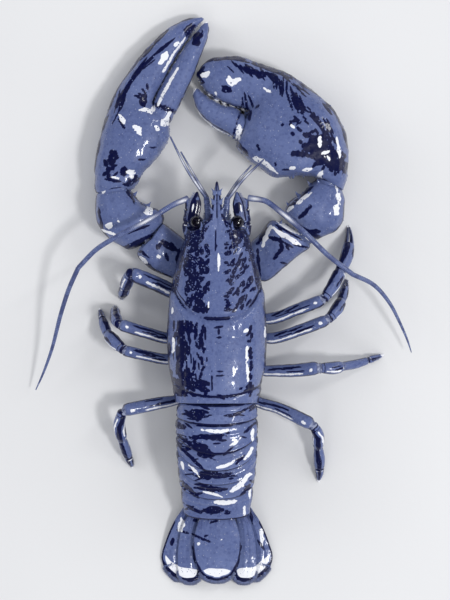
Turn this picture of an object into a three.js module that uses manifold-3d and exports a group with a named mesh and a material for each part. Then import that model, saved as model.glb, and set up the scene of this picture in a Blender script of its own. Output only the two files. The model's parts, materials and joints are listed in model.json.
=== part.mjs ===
// American lobster of the blue colour form, life size, lying on its belly with both claws forward.
// Millimetres. +Z is up, the head faces -Y and +X is the animal's left side.
// The origin is on the floor under the breast, where the belly has a small flat.
import * as THREE from "three";
import { mergeVertices } from "three/addons/utils/BufferGeometryUtils.js";
import Module from "manifold-3d";

const wasm = await Module();
wasm.setup();

// Driving dimensions
const GAP = 0.3; // air between neighbouring shell pieces
const SHELL_BLUE = 0x62709a;
const DEEP_NAVY = 0x141a45;
const PALE_BLUE = 0x8793bd;
const ROSTRUM_TIP_Y = -69.5;
const CARAPACE_REAR_Y = 61;
const CARAPACE_HALF_WIDTH = 29.7;
const TAIL_HALF_WIDTH = 24;
const FAN_END_Y = 170;
const GOLDEN_ANGLE = 2.399963;
const SHORT_DOME = 1.2; // an end dome up to this long is a plain cone
const SHOULDER = 0.72; // the inner ring of a longer dome, as a share of its section

const v3 = (x, y, z) => new THREE.Vector3(x, y, z);
const clamp = THREE.MathUtils.clamp;
const lerp = THREE.MathUtils.lerp;
const signedPower = (value, power) => Math.sign(value) * Math.abs(value) ** power;

// A smooth curve through [position, value] knots that never overshoots them.
function profile(knots) {
  const slope = knots.slice(1).map((b, i) => (b[1] - knots[i][1]) / (b[0] - knots[i][0]));
  const tangent = knots.map((_, i) => {
    if (i === 0) return slope[0];
    if (i === knots.length - 1) return slope[i - 1];
    const product = slope[i - 1] * slope[i];
    return product <= 0 ? 0 : (2 * product) / (slope[i - 1] + slope[i]);
  });
  return (x) => {
    let i = 0;
    while (i < knots.length - 2 && x > knots[i + 1][0]) i += 1;
    const width = knots[i + 1][0] - knots[i][0];
    const t = clamp((x - knots[i][0]) / width, 0, 1);
    const rise = (3 - 2 * t) * t * t;
    const start = knots[i][1] * (1 - rise) + knots[i + 1][1] * rise;
    return start + width * t * (1 - t) * (tangent[i] * (1 - t) - tangent[i + 1] * t);
  };
}

// Rows of numbers, one row a station, made denser by the same smooth curves.
function denser(stations, perSpan) {
  const columns = stations[0].map((_, c) => profile(stations.map((row, i) => [i, row[c]])));
  const count = (stations.length - 1) * perSpan;
  return Array.from({ length: count + 1 }, (_, k) => columns.map((f) => f(k / perSpan)));
}

// One closed solid from vertices and triangles, turned so that its faces point out.
function solidFrom(points, faces) {
  const flat = new Float32Array(points.length * 3);
  points.forEach((p, i) => p.toArray(flat, i * 3));
  const geometry = new THREE.BufferGeometry();
  geometry.setAttribute("position", new THREE.BufferAttribute(flat, 3));
  geometry.setIndex(faces.flat());
  const merged = mergeVertices(geometry, 1e-4);
  const vertProperties = merged.attributes.position.array;
  const corner = (i) => v3().fromArray(vertProperties, i * 3);
  const kept = [];
  let volume = 0;
  for (let i = 0; i < merged.index.count; i += 3) {
    const [a, b, c] = [0, 1, 2].map((k) => merged.index.getX(i + k));
    if (a === b || b === c || a === c) continue;
    kept.push(a, b, c);
    volume += corner(a).dot(corner(b).cross(corner(c)));
  }
  if (volume < 0) kept.reverse();
  return new wasm.Manifold(
    new wasm.Mesh({ numProp: 3, vertProperties, triVerts: new Uint32Array(kept) }),
  );
}

// A skin over rings of equally many points, closed by one point past each end.
function skin(rings, first, last) {
  const sides = rings[0].length;
  const points = rings.flat();
  const faces = [];
  rings.slice(1).forEach((_, r) => {
    for (let k = 0; k < sides; k += 1) {
      const [a, b] = [r * sides + k, r * sides + ((k + 1) % sides)];
      faces.push([a, b, b + sides], [a, b + sides, a + sides]);
    }
  });
  const end = (rings.length - 1) * sides;
  points.push(first, last);
  for (let k = 0; k < sides; k += 1) {
    const next = (k + 1) % sides;
    faces.push([points.length - 2, next, k], [points.length - 1, end + k, end + next]);
  }
  return solidFrom(points, faces);
}

// Frames are {centre, side, up}: half axes of a rounded section. Each end gets a dome of the given length.
function loft(frames, { sides = 14, power = 2.2, domes = [2, 2], grow = 0 } = {}) {
  const widen = (axis) => axis.clone().setLength(axis.length() + grow);
  const ring = ({ centre, side, up }, scale, shift) =>
    Array.from({ length: sides }, (_, k) => {
      const angle = (2 * Math.PI * (k + 0.5)) / sides;
      return centre
        .clone()
        .add(shift)
        .addScaledVector(widen(side), scale * signedPower(Math.cos(angle), 2 / power))
        .addScaledVector(widen(up), scale * signedPower(Math.sin(angle), 2 / power));
    });
  const outward = (from, to) => to.centre.clone().sub(from.centre).normalize();
  const [startWay, endWay] = [outward(frames[1], frames[0]), outward(frames.at(-2), frames.at(-1))];
  const [startTip, endTip] = [domes[0] + grow, domes[1] + grow];
  const along = (way, length) => way.clone().multiplyScalar(length);
  const rings = frames.map((frame, i) => {
    const isEnd = i === frames.length - 1;
    return ring(frame, 1, i === 0 ? along(startWay, grow) : isEnd ? along(endWay, grow) : v3(0, 0, 0));
  });
  if (domes[0] > SHORT_DOME) rings.unshift(ring(frames[0], SHOULDER, along(startWay, grow + domes[0] * 0.62)));
  if (domes[1] > SHORT_DOME) rings.push(ring(frames.at(-1), SHOULDER, along(endWay, grow + domes[1] * 0.62)));
  return skin(
    rings,
    frames[0].centre.clone().addScaledVector(startWay, startTip),
    frames.at(-1).centre.clone().addScaledVector(endWay, endTip),
  );
}

// Stations of a claw or arm piece: outer edge x and y, inner edge x and y, centre height, half height.
const edgeFrames = (stations, perSpan) =>
  denser(stations, perSpan).map(([ox, oy, ix, iy, z, half]) => ({
    centre: v3((ox + ix) / 2, (oy + iy) / 2, z),
    side: v3((ix - ox) / 2, (iy - oy) / 2, 0),
    up: v3(0, 0, half),
  }));

// Stations of a leg or feeler: x, y, z, half width, half height.
function pathFrames(stations, perSpan) {
  const rows = denser(stations, perSpan);
  return rows.map(([x, y, z, halfWidth, halfHeight], i) => {
    const before = rows[Math.max(i - 1, 0)];
    const after = rows[Math.min(i + 1, rows.length - 1)];
    const along = v3(after[0] - before[0], after[1] - before[1], after[2] - before[2]).normalize();
    const side = v3(along.y, -along.x, 0).normalize();
    return {
      centre: v3(x, y, z),
      side: side.clone().multiplyScalar(halfWidth),
      up: side.cross(along).multiplyScalar(halfHeight),
    };
  });
}

const fuse = (solids) => solids.reduce((whole, next) => whole.add(next));
const aboveFloor = (solid) => solid.trimByPlane([0, 0, 1], 0);

// A spine or tooth: a six-sided cone whose base is sunk below the surface it grows from.
function spine(at, toward, length, radius, grow = 0, knob = false) {
  const direction = toward.clone().normalize();
  const across = v3(0, 0, 1).cross(direction);
  if (across.length() < 0.1) across.set(1, 0, 0);
  across.normalize();
  const up = direction.clone().cross(across);
  const around = (distance, size) =>
    Array.from({ length: 6 }, (_, k) =>
      at
        .clone()
        .addScaledVector(direction, distance)
        .addScaledVector(across, size * Math.cos((k * Math.PI) / 3))
        .addScaledVector(up, size * Math.sin((k * Math.PI) / 3)),
    );
  const root = -radius * 1.2;
  const [waistAt, waist] = knob ? [0.7, 0.8] : [0.35, 0.72];
  const tip = at.clone().addScaledVector(direction, length + grow);
  return skin(
    [around(root, radius + grow), around(length * waistAt, radius * waist + grow)],
    at.clone().addScaledVector(direction, root - 0.3),
    tip,
  );
}

// A blunt bump: a low-sided ball.
function bump(at, radius, grow = 0, flatten = 1) {
  const ball = new THREE.IcosahedronGeometry(radius + grow, 1);
  ball.deleteAttribute("normal");
  ball.deleteAttribute("uv");
  ball.scale(1, 1, flatten);
  ball.translate(at.x, at.y, at.z);
  const merged = mergeVertices(ball, 1e-4);
  const corners = Array.from({ length: merged.attributes.position.count }, (_, i) =>
    v3().fromBufferAttribute(merged.attributes.position, i),
  );
  const faces = [];
  for (let i = 0; i < merged.index.count; i += 3) {
    faces.push([merged.index.getX(i), merged.index.getX(i + 1), merged.index.getX(i + 2)]);
  }
  return solidFrom(corners, faces);
}

// Teeth along a finger's biting edge, from one share of its length to another.
function teeth(frames, { from, to, count, size, edge, blunt, grow }) {
  return Array.from({ length: count }, (_, k) => {
    const share = lerp(from, to, count === 1 ? 0 : k / (count - 1));
    const place = share * (frames.length - 1);
    const low = frames[Math.floor(place)];
    const high = frames[Math.min(Math.floor(place) + 1, frames.length - 1)];
    const mix = place - Math.floor(place);
    const centre = low.centre.clone().lerp(high.centre, mix);
    const side = low.side.clone().lerp(high.side, mix).multiplyScalar(edge);
    const tooth = size * (0.75 + 0.35 * Math.abs(Math.sin(k * GOLDEN_ANGLE)));
    const root = centre.add(side.clone().multiplyScalar(1 - (0.35 * tooth) / side.length()));
    return spine(root, side, tooth * (blunt ? 1.1 : 1.5), tooth * (blunt ? 1 : 0.8), grow, blunt);
  });
}

// Carapace: one shell with the beak in front. Half width, crest, widest level and lower edge along Y.
const beakBaseY = -48;
const carapaceWidth = profile([
  [ROSTRUM_TIP_Y, 0.9],
  [-62, 3],
  [-54, 4.6],
  [beakBaseY, 6.2],
  [-45.5, 9],
  [-41.5, 17.2],
  [-36, 19.4],
  [-26, 22.6],
  [-14, 25.8],
  [2, 28.6],
  [20, CARAPACE_HALF_WIDTH],
  [36, 29.2],
  [48, 27],
  [CARAPACE_REAR_Y, 24.4],
]);
const carapaceCrest = profile([
  [ROSTRUM_TIP_Y, 47.2],
  [beakBaseY, 47.5],
  [-36, 49],
  [-10, 53],
  [10, 54.2],
  [14, 54.4],
  [35, 55],
  [50, 53.4],
  [CARAPACE_REAR_Y, 51],
]);
const carapaceMiddle = profile([
  [ROSTRUM_TIP_Y, 46],
  [beakBaseY, 44],
  [-41, 38],
  [-30, 35],
  [0, 30],
  [CARAPACE_REAR_Y, 29],
]);
const carapaceFloor = profile([
  [ROSTRUM_TIP_Y, 45],
  [beakBaseY, 39.5],
  [-41, 30],
  [-25, 24],
  [0, 18.5],
  [CARAPACE_REAR_Y, 17.5],
]);
const GROOVE_Y = 11; // the neck groove at the midline; it sweeps forward down the flanks
const GROOVE_SWEEP = 20;
const GROOVE_DEPTH = 1.3;
const GROOVE_WIDTH = 1.6;

const grooveShare = profile([
  [-41.5, 0],
  [GROOVE_Y, 1],
  [CARAPACE_REAR_Y, 0],
]);

// A ring's points lie at station y on the midline and follow the groove's sweep down the flanks.
function carapaceRing(station, sides, grow) {
  return Array.from({ length: sides }, (_, k) => {
    const angle = (2 * Math.PI * (k + 0.5)) / sides;
    const [c, s] = [Math.cos(angle), Math.sin(angle)];
    const y = station - GROOVE_SWEEP * grooveShare(station) * Math.abs(c) ** 2.5;
    const [middle, above] = [carapaceMiddle(y), s > 0];
    const groove = above ? GROOVE_DEPTH * Math.exp(-(((station - GROOVE_Y) / GROOVE_WIDTH) ** 2)) : 0;
    const roundness = above ? 0.9 : 0.72;
    const x = (carapaceWidth(y) + grow - groove * Math.abs(c)) * signedPower(c, roundness);
    const rise = above ? carapaceCrest(y) - middle - groove : middle - carapaceFloor(y);
    return v3(x, y, middle + (rise + grow) * signedPower(s, roundness));
  });
}

function carapace(grow) {
  const sides = 22;
  const head = [ROSTRUM_TIP_Y, -64, -57, beakBaseY, -45.5, -43.5, -41.5, -37, -29, -17, -4];
  const groove = [-1.6, -0.7, 0, 0.7, 1.6].map((share) => GROOVE_Y + share * GROOVE_WIDTH);
  const stops = [...head, 5.5, ...groove, 18, 26, 36, 46, 54, CARAPACE_REAR_Y - 1, CARAPACE_REAR_Y];
  const rings = stops.map((y) => {
    const isRear = y === CARAPACE_REAR_Y;
    return carapaceRing(isRear ? y + grow : y, sides, isRear ? grow - 0.8 : grow);
  });
  const shell = skin(
    rings,
    v3(0, ROSTRUM_TIP_Y - 0.8 - grow, 46.4),
    v3(0, CARAPACE_REAR_Y + grow, 33),
  );
  const beakSpines = [-1, 1].flatMap((way) =>
    [-63.5, -58, -52.5].map((y) =>
      spine(
        v3(way * carapaceWidth(y) * 0.8, y, carapaceMiddle(y) + 1),
        v3(way * 0.8, -1, 0.35),
        2.6,
        1,
        grow,
      ),
    ),
  );
  const browSpines = [-1, 1].flatMap((way) => [
    spine(v3(way * 9.4, -42.5, 45), v3(way * 0.2, -1, 0.25), 4.2, 1.5, grow),
    spine(v3(way * 17.5, -40.5, 36), v3(way * 0.25, -1, 0.1), 4.5, 1.6, grow),
  ]);
  return fuse([shell, ...beakSpines, ...browSpines]);
}

// Breast plate and the ten leg sockets, under the carapace.
const breastWidth = profile([
  [-38, 4.5],
  [-24, 10.5],
  [-4, 13],
  [30, 14.5],
  [56, 12],
]);
const BELLY_TRIM = 0.6; // the part of the breast that the floor's level cuts away to leave the flat
const breastFloor = profile([
  [-38, 17],
  [-24, 8],
  [-15, 0.6],
  [-9, -BELLY_TRIM],
  [44, -BELLY_TRIM],
  [56, 4],
]);
const BREAST_TOP = 21;
const SOCKET_RADIUS = 4.6;

function breast(grow, socketPlaces) {
  const rows = [-38, -31, -24, -15, -9, 20, 44, 56];
  const frames = rows.map((y) => {
    const floor = breastFloor(y);
    return {
      centre: v3(0, y, (BREAST_TOP + floor) / 2),
      side: v3(breastWidth(y), 0, 0),
      up: v3(0, 0, (BREAST_TOP - floor) / 2),
    };
  });
  const core = loft(frames, { sides: 12, power: 3, domes: [1, 1], grow });
  const sockets = socketPlaces.map((rows) =>
    loft(pathFrames(rows, 1), { sides: 7, power: 2, domes: [0.5, 0.5], grow }),
  );
  return fuse([core, ...sockets]);
}

// Tail. Five knots a ring: Y and height of the back's midline, slope in degrees, half width, depth.
const TAIL_RINGS = [
  [62.6, 50.2, 3, 23.0, 33],
  [73.8, 49.4, 9, 23.9, 35],
  [91.2, 45.6, 19, TAIL_HALF_WIDTH, 35.5],
  [101.4, 41.2, 28, 23.8, 33],
  [109.8, 35.8, 36, 23.2, 29],
  [118.8, 28.4, 38, 22, 23.5],
  [131.5, 19.2, 30, 19.5, 14.5],
];
const SHINGLE = 1.1; // how far each plate's front edge is tucked in under the plate ahead

function tailRing(row, { inset, pleuron, grow, shift }) {
  const [y, z, slopeDegrees, halfWidth, depth] = row;
  const slope = THREE.MathUtils.degToRad(slopeDegrees);
  const back = v3(0, Math.cos(slope), -Math.sin(slope));
  const down = v3(0, -Math.sin(slope), -Math.cos(slope));
  const origin = v3(0, y, z).addScaledVector(back, shift);
  const width = halfWidth - inset + grow;
  const shoulder = 0.52 * depth; // where the back turns into the side plates
  const place = (x, u) => v3(x, 0, 0).add(origin).addScaledVector(down, u);
  const arcSteps = 6;
  const half = [];
  for (let k = 0; k <= arcSteps; k += 1) {
    const angle = (k / arcSteps) * (Math.PI / 2);
    const u = shoulder - (shoulder - inset + grow) * Math.cos(angle) ** 0.86;
    half.push([width * Math.sin(angle) ** 0.9, u]);
  }
  const tipDepth = depth * pleuron - inset + grow;
  half.push([width * 0.985, shoulder + (tipDepth - shoulder) * 0.5]);
  half.push([width * 0.9, tipDepth]);
  const outer = [...half.slice(1).reverse().map(([x, u]) => place(-x, u)), ...half.map(([x, u]) => place(x, u))];
  const roof = 0.62 * depth;
  const inner = outer.map((_, i) => {
    const share = (2 * i) / (outer.length - 1) - 1;
    const x = share * (width * 0.9 - 3.2);
    const u = roof - grow * 2 + (tipDepth - 1 - roof) * Math.abs(share) ** 3;
    return place(x, u);
  });
  return { outer, inner };
}

function tailSegment(index, grow) {
  const [front, rear] = [TAIL_RINGS[index], TAIL_RINGS[index + 1]];
  const steps = [
    { t: 0, inset: SHINGLE, pleuron: 0.84, shift: GAP * 1.2 - grow },
    { t: 0.22, inset: 0.25, pleuron: 0.95, shift: 0 },
    { t: 0.6, inset: 0, pleuron: 1, shift: 0 },
    { t: 0.9, inset: -0.25, pleuron: 0.95, shift: 0 },
    { t: 1, inset: 0, pleuron: 0.86, shift: grow },
  ];
  const rings = steps.map(({ t, ...rest }) =>
    tailRing(
      front.map((value, c) => lerp(value, rear[c], t)),
      { ...rest, grow },
    ),
  );
  const across = rings[0].outer.length;
  const points = rings.flatMap(({ outer, inner }) => [...outer, ...inner]);
  const faces = [];
  const quad = (a, b, c, d) => faces.push([a, b, c], [a, c, d]);
  const ringSize = across * 2;
  rings.slice(1).forEach((_, r) => {
    const [low, high] = [r * ringSize, (r + 1) * ringSize];
    for (let k = 0; k < across - 1; k += 1) {
      quad(low + k, low + k + 1, high + k + 1, high + k);
      quad(high + across + k, high + across + k + 1, low + across + k + 1, low + across + k);
    }
    quad(low + across, low, high, high + across);
    quad(low + across - 1, low + 2 * across - 1, high + 2 * across - 1, high + across - 1);
  });
  const last = (rings.length - 1) * ringSize;
  for (let k = 0; k < across - 1; k += 1) {
    quad(k + 1, k, across + k, across + k + 1);
    quad(last + k, last + k + 1, last + across + k + 1, last + across + k);
  }
  const plate = solidFrom(points, faces);
  if (index > 4) return plate;
  return fuse([plate, ...swimmerets(index, grow)]);
}

// Paired swimmerets under each of the first five tail plates.
function swimmerets(index, grow) {
  const mid = TAIL_RINGS[index].map((value, c) => lerp(value, TAIL_RINGS[index + 1][c], 0.5));
  const [y, z, slopeDegrees, , depth] = mid;
  const slope = THREE.MathUtils.degToRad(slopeDegrees);
  const down = v3(0, -Math.sin(slope), -Math.cos(slope));
  const root = v3(0, y, z).addScaledVector(down, depth * 0.55);
  const reach = depth * 0.3;
  return [-1, 1].map((way) => {
    const start = root.clone().add(v3(way * 8, 0, 0));
    const tip = start.clone().add(v3(way * 2.5, reach * 0.35, -reach));
    const stations = [
      [start.x, start.y, start.z, 2.4, 0.9],
      [tip.x, tip.y, tip.z, 2.3, 0.7],
    ];
    return loft(pathFrames(stations, 1), { sides: 6, domes: [0.6, 0.8], grow });
  });
}

// Tail fan. Stations: Y, left edge X, right edge X, height at the left edge, at the right edge, half thickness.
const TELSON = [
  [128.5, -9.5, 9.5, 16.2, 16.2, 2.2],
  [136, -12.2, 12.2, 14.2, 14.2, 2.1],
  [147.5, -14.2, 14.2, 11, 11, 1.9],
  [157, -12.9, 12.9, 8.6, 8.6, 1.7],
  [164, -10.6, 10.6, 7.2, 7.2, 1.5],
  [167.4, -7.2, 7.2, 6.6, 6.6, 1.3],
  [168.6, -3.4, 3.4, 6.4, 6.4, 1.1],
];
const ENDOPOD = [
  [126, 9.5, 15, 13.2, 13.2, 2.2],
  [135, 11.5, 20.3, 9.6, 9.6, 1.9],
  [146, 11, 23, 7.3, 6.2, 1.4],
  [156, 9.6, 23.4, 5.0, 4.4, 1.3],
  [164, 8.8, 22, 4.2, 3.9, 1.2],
  [168.5, 10, 19, 3.8, 3.6, 1.1],
  [FAN_END_Y, 12, 16.4, 3.6, 3.5, 1],
];
const EXOPOD = [
  [125, 15, 20.5, 9.4, 9.0, 2.1],
  [134, 17.5, 26.2, 6.2, 5.6, 1.8],
  [146, 20, 31.2, 3.1, 2.9, 1.4],
  [156, 19.8, 33.6, 1.6, 1.5, 1.4],
  [163, 19.5, 32.2, 1.3, 1.3, 1.35],
  [167, 21, 28.4, 1.2, 1.2, 1.25],
  [168.2, 23, 26.5, 1.2, 1.2, 1.2],
];

// A fan plate with one ridge raised along its middle.
function fanPlate(stations, way, grow) {
  const frames = denser(stations, 1).map(([y, left, right, zLeft, zRight, half]) => ({
    centre: v3((way * (left + right)) / 2, y, (zLeft + zRight) / 2),
    side: v3((way * (right - left)) / 2, 0, (zRight - zLeft) / 2),
    up: v3(0, 0, half),
  }));
  const plate = loft(frames, { sides: 10, power: 3.4, domes: [1, 0.8], grow });
  const ridge = frames.slice(1, -2).map(({ centre, up }, i) => ({
    centre: centre.clone().add(v3(0, 0, up.z * 0.8)),
    side: v3(lerp(1.6, 0.8, i / frames.length), 0, 0),
    up: v3(0, 0, 1),
  }));
  return fuse([plate, loft(ridge, { sides: 6, power: 2, domes: [0.4, 1.5], grow })]);
}

// Claws and their arms, on the animal's left (the slender cutter) and right (the heavy crusher).
const CUTTER_PALM = [
  [73.0, -65.4, 49.6, -67.8, 13, 10],
  [73.6, -76.8, 43.0, -77.4, 13.5, 13],
  [71.8, -89.4, 33.4, -88.8, 14, 14.8],
  [68.8, -101.4, 28.6, -98.4, 14, 14.8],
  [65.2, -112.8, 28.4, -106.2, 13.5, 13.4],
  [60.4, -124.8, 38.2, -118.4, 11.5, 10],
  [51.4, -139.2, 31.6, -132.6, 10.5, 9],
  [42.4, -150.9, 25.0, -145.8, 9.5, 8],
  [34.0, -159, 19.2, -154.6, 8.5, 7],
  [25.0, -165.6, 15, -160.6, 7.5, 5.5],
  [16.0, -169.8, 11.6, -165.4, 6.5, 3.8],
  [10, -170.4, 8.6, -168.4, 6, 2],
];
const CUTTER_FINGER = [
  [39.4, -110.8, 28.6, -106.4, 14, 8.4],
  [36.2, -120, 23.4, -115.2, 13.5, 8.5],
  [30.6, -130.8, 18.2, -126, 12.5, 8],
  [24.2, -142.4, 12.4, -139.4, 11.5, 7],
  [18.2, -152.0, 8.2, -150.4, 10, 6],
  [13.2, -158.6, 5.8, -158.2, 9, 5],
  [9.4, -163.2, 5.0, -163.6, 8, 3.5],
  [6.8, -167.0, 5.4, -167.2, 7.5, 1.8],
];
const CUTTER_WRIST = [
  [55.0, -30.6, 36.4, -40.2, 14, 9],
  [66.4, -38.4, 32.2, -48.6, 15, 13.2],
  [71.8, -46.8, 34.6, -52.8, 15.5, 14.2],
  [73.0, -55.2, 43.6, -57.6, 15, 13.6],
  [72.4, -61.8, 50.2, -63.6, 14, 11.6],
  [70.2, -67.4, 53.2, -69.2, 13.5, 8.6],
];
const CUTTER_ARM = [
  [14.4, -31.4, 15.2, -15.4, 12.5, 6.5],
  [21.4, -38.4, 24.6, -13.2, 13, 8],
  [27.4, -43.2, 34.8, -15.4, 13.8, 10.2],
  [32.2, -45.6, 43.4, -22, 14.5, 11],
  [34.6, -42.0, 47.8, -27.6, 14.5, 9.5],
  [38.2, -37.2, 44.2, -31.8, 14.5, 6],
];
const CRUSHER_PALM = [
  [-75.8, -66.6, -59.6, -75.0, 15, 11],
  [-78.8, -81.0, -48.8, -74.4, 17.5, 15.5],
  [-77.6, -96.0, -35.6, -73.4, 18.5, 19.1],
  [-71.6, -111.0, -24.8, -79.8, 19, 19.6],
  [-62.0, -121.2, -16.4, -86.4, 18.5, 19.1],
  [-50.6, -130.2, -11.8, -93.2, 17, 16.6],
  [-38.6, -137.4, -18.2, -112.8, 14.5, 13],
  [-23.6, -142.2, -9.2, -116.8, 13.5, 12],
  [-10.4, -146.2, -0.8, -119.6, 12.5, 11],
  [1.4, -145.4, 5.4, -124.6, 11.5, 9],
  [8.6, -141.4, 9.2, -129.4, 10.5, 6.5],
  [11.4, -137.6, 11.4, -133.4, 10, 4],
];
const CRUSHER_FINGER = [
  [-16.6, -108.4, -12.2, -95.6, 15, 11],
  [-10.4, -113.2, -6.2, -99, 14.5, 11.5],
  [-2.0, -115.2, 2.8, -104.1, 13.5, 10.5],
  [5.0, -118.8, 9.6, -110.6, 12.5, 8.5],
  [10.2, -123.2, 13.6, -117.4, 11.5, 6],
  [13.2, -126.0, 14.8, -123.4, 11, 3.2],
];
const CRUSHER_WRIST = [
  [-61.4, -37.2, -47.0, -45.6, 14.5, 9.5],
  [-72.2, -42.6, -41.0, -52.8, 15.5, 13.6],
  [-76.4, -50.4, -43.4, -58.8, 16, 14.6],
  [-76.4, -58.8, -50.6, -63.6, 15.6, 14],
  [-75.2, -64.8, -56.6, -69.6, 15, 12.4],
  [-72.8, -70, -60.8, -74.6, 14.5, 9.5],
];
const CRUSHER_ARM = [
  [-15.6, -30, -16.4, -13.6, 12.5, 6.5],
  [-24.4, -38.8, -28.4, -11.6, 13, 8.2],
  [-32.6, -48, -40.4, -19.2, 13.8, 10.8],
  [-40.4, -46.2, -48.8, -26.4, 14.5, 11],
  [-47.0, -42, -55.4, -31.8, 14.5, 9],
  [-51.8, -39.6, -56, -34.8, 14.5, 6],
];

const CLAW_SECTION = { sides: 12, power: 2.3 };

// Rows of knobs and spines stand on the inner edge of a claw or arm piece; way is the inner side's sign.
function edgeSpines(frames, { from, to, count, length, radius, edge, lift, grow }) {
  return Array.from({ length: count }, (_, k) => {
    const place = Math.round(lerp(from, to, count === 1 ? 0 : k / (count - 1)) * (frames.length - 1));
    const { centre, side, up } = frames[place];
    const reach = Math.sqrt(1 - lift * lift);
    const outward = side.clone().setLength(1).multiplyScalar(edge * reach);
    outward.z = lift;
    const root = centre
      .clone()
      .addScaledVector(side, edge * reach * 0.9)
      .add(v3(0, 0, up.z * lift * 0.9));
    const forward = frames.at(-1).centre.clone().sub(frames[0].centre).setLength(0.5);
    return spine(root, outward.add(forward), length, radius, grow);
  });
}

function cutterPalm(grow) {
  const frames = edgeFrames(CUTTER_PALM, 2);
  const finger = frames.slice(11);
  return aboveFloor(
    fuse([
      loft(frames, { ...CLAW_SECTION, domes: [3, 1], grow }),
      ...teeth(finger, { from: 0.04, to: 0.86, count: 9, size: 1.15, edge: 1, blunt: false, grow }),
      ...edgeSpines(frames, { from: 0.09, to: 0.34, count: 4, length: 2.6, radius: 1.5, edge: 1, lift: 0.45, grow }),
    ]),
  );
}

function cutterFinger(grow) {
  const frames = edgeFrames(CUTTER_FINGER, 2);
  return fuse([
    loft(frames, { ...CLAW_SECTION, domes: [3, 0.8], grow }),
    ...teeth(frames, { from: 0.3, to: 0.82, count: 6, size: 1.05, edge: -1, blunt: false, grow }),
  ]);
}

function crusherPalm(grow) {
  const frames = edgeFrames(CRUSHER_PALM, 2);
  const finger = frames.slice(12);
  return aboveFloor(
    fuse([
      loft(frames, { ...CLAW_SECTION, domes: [3, 1.2], grow }),
      ...teeth(finger, { from: 0.06, to: 0.72, count: 5, size: 2.1, edge: 1, blunt: true, grow }),
      ...edgeSpines(frames, { from: 0.14, to: 0.4, count: 4, length: 2.8, radius: 1.9, edge: 1, lift: 0.4, grow }),
    ]),
  );
}

function crusherFinger(grow) {
  const frames = edgeFrames(CRUSHER_FINGER, 2);
  return fuse([
    loft(frames, { ...CLAW_SECTION, domes: [3, 1], grow }),
    ...teeth(frames, { from: 0.34, to: 0.84, count: 4, size: 1.8, edge: -1, blunt: true, grow }),
  ]);
}

function wrist(stations, grow) {
  const frames = edgeFrames(stations, 1);
  const row = { length: 3.6, radius: 1.8, edge: 1, grow };
  return fuse([
    loft(frames, { ...CLAW_SECTION, domes: [2.5, 2], grow }),
    ...edgeSpines(frames, { ...row, from: 0.28, to: 0.72, count: 3, lift: 0.25 }),
    ...edgeSpines(frames, { ...row, from: 0.3, to: 0.8, count: 3, lift: 0.8, length: 3, radius: 1.6 }),
    ...edgeSpines(frames, { ...row, from: 0.4, to: 0.75, count: 2, lift: 0.75, edge: -1, length: 2.4 }),
  ]);
}

function arm(stations, grow) {
  const frames = edgeFrames(stations, 1);
  return fuse([
    loft(frames, { ...CLAW_SECTION, domes: [2, 1.5], grow }),
    ...edgeSpines(frames, { from: 0.5, to: 0.8, count: 2, length: 3, radius: 1.6, edge: -1, lift: 0.5, grow }),
  ]);
}

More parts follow.
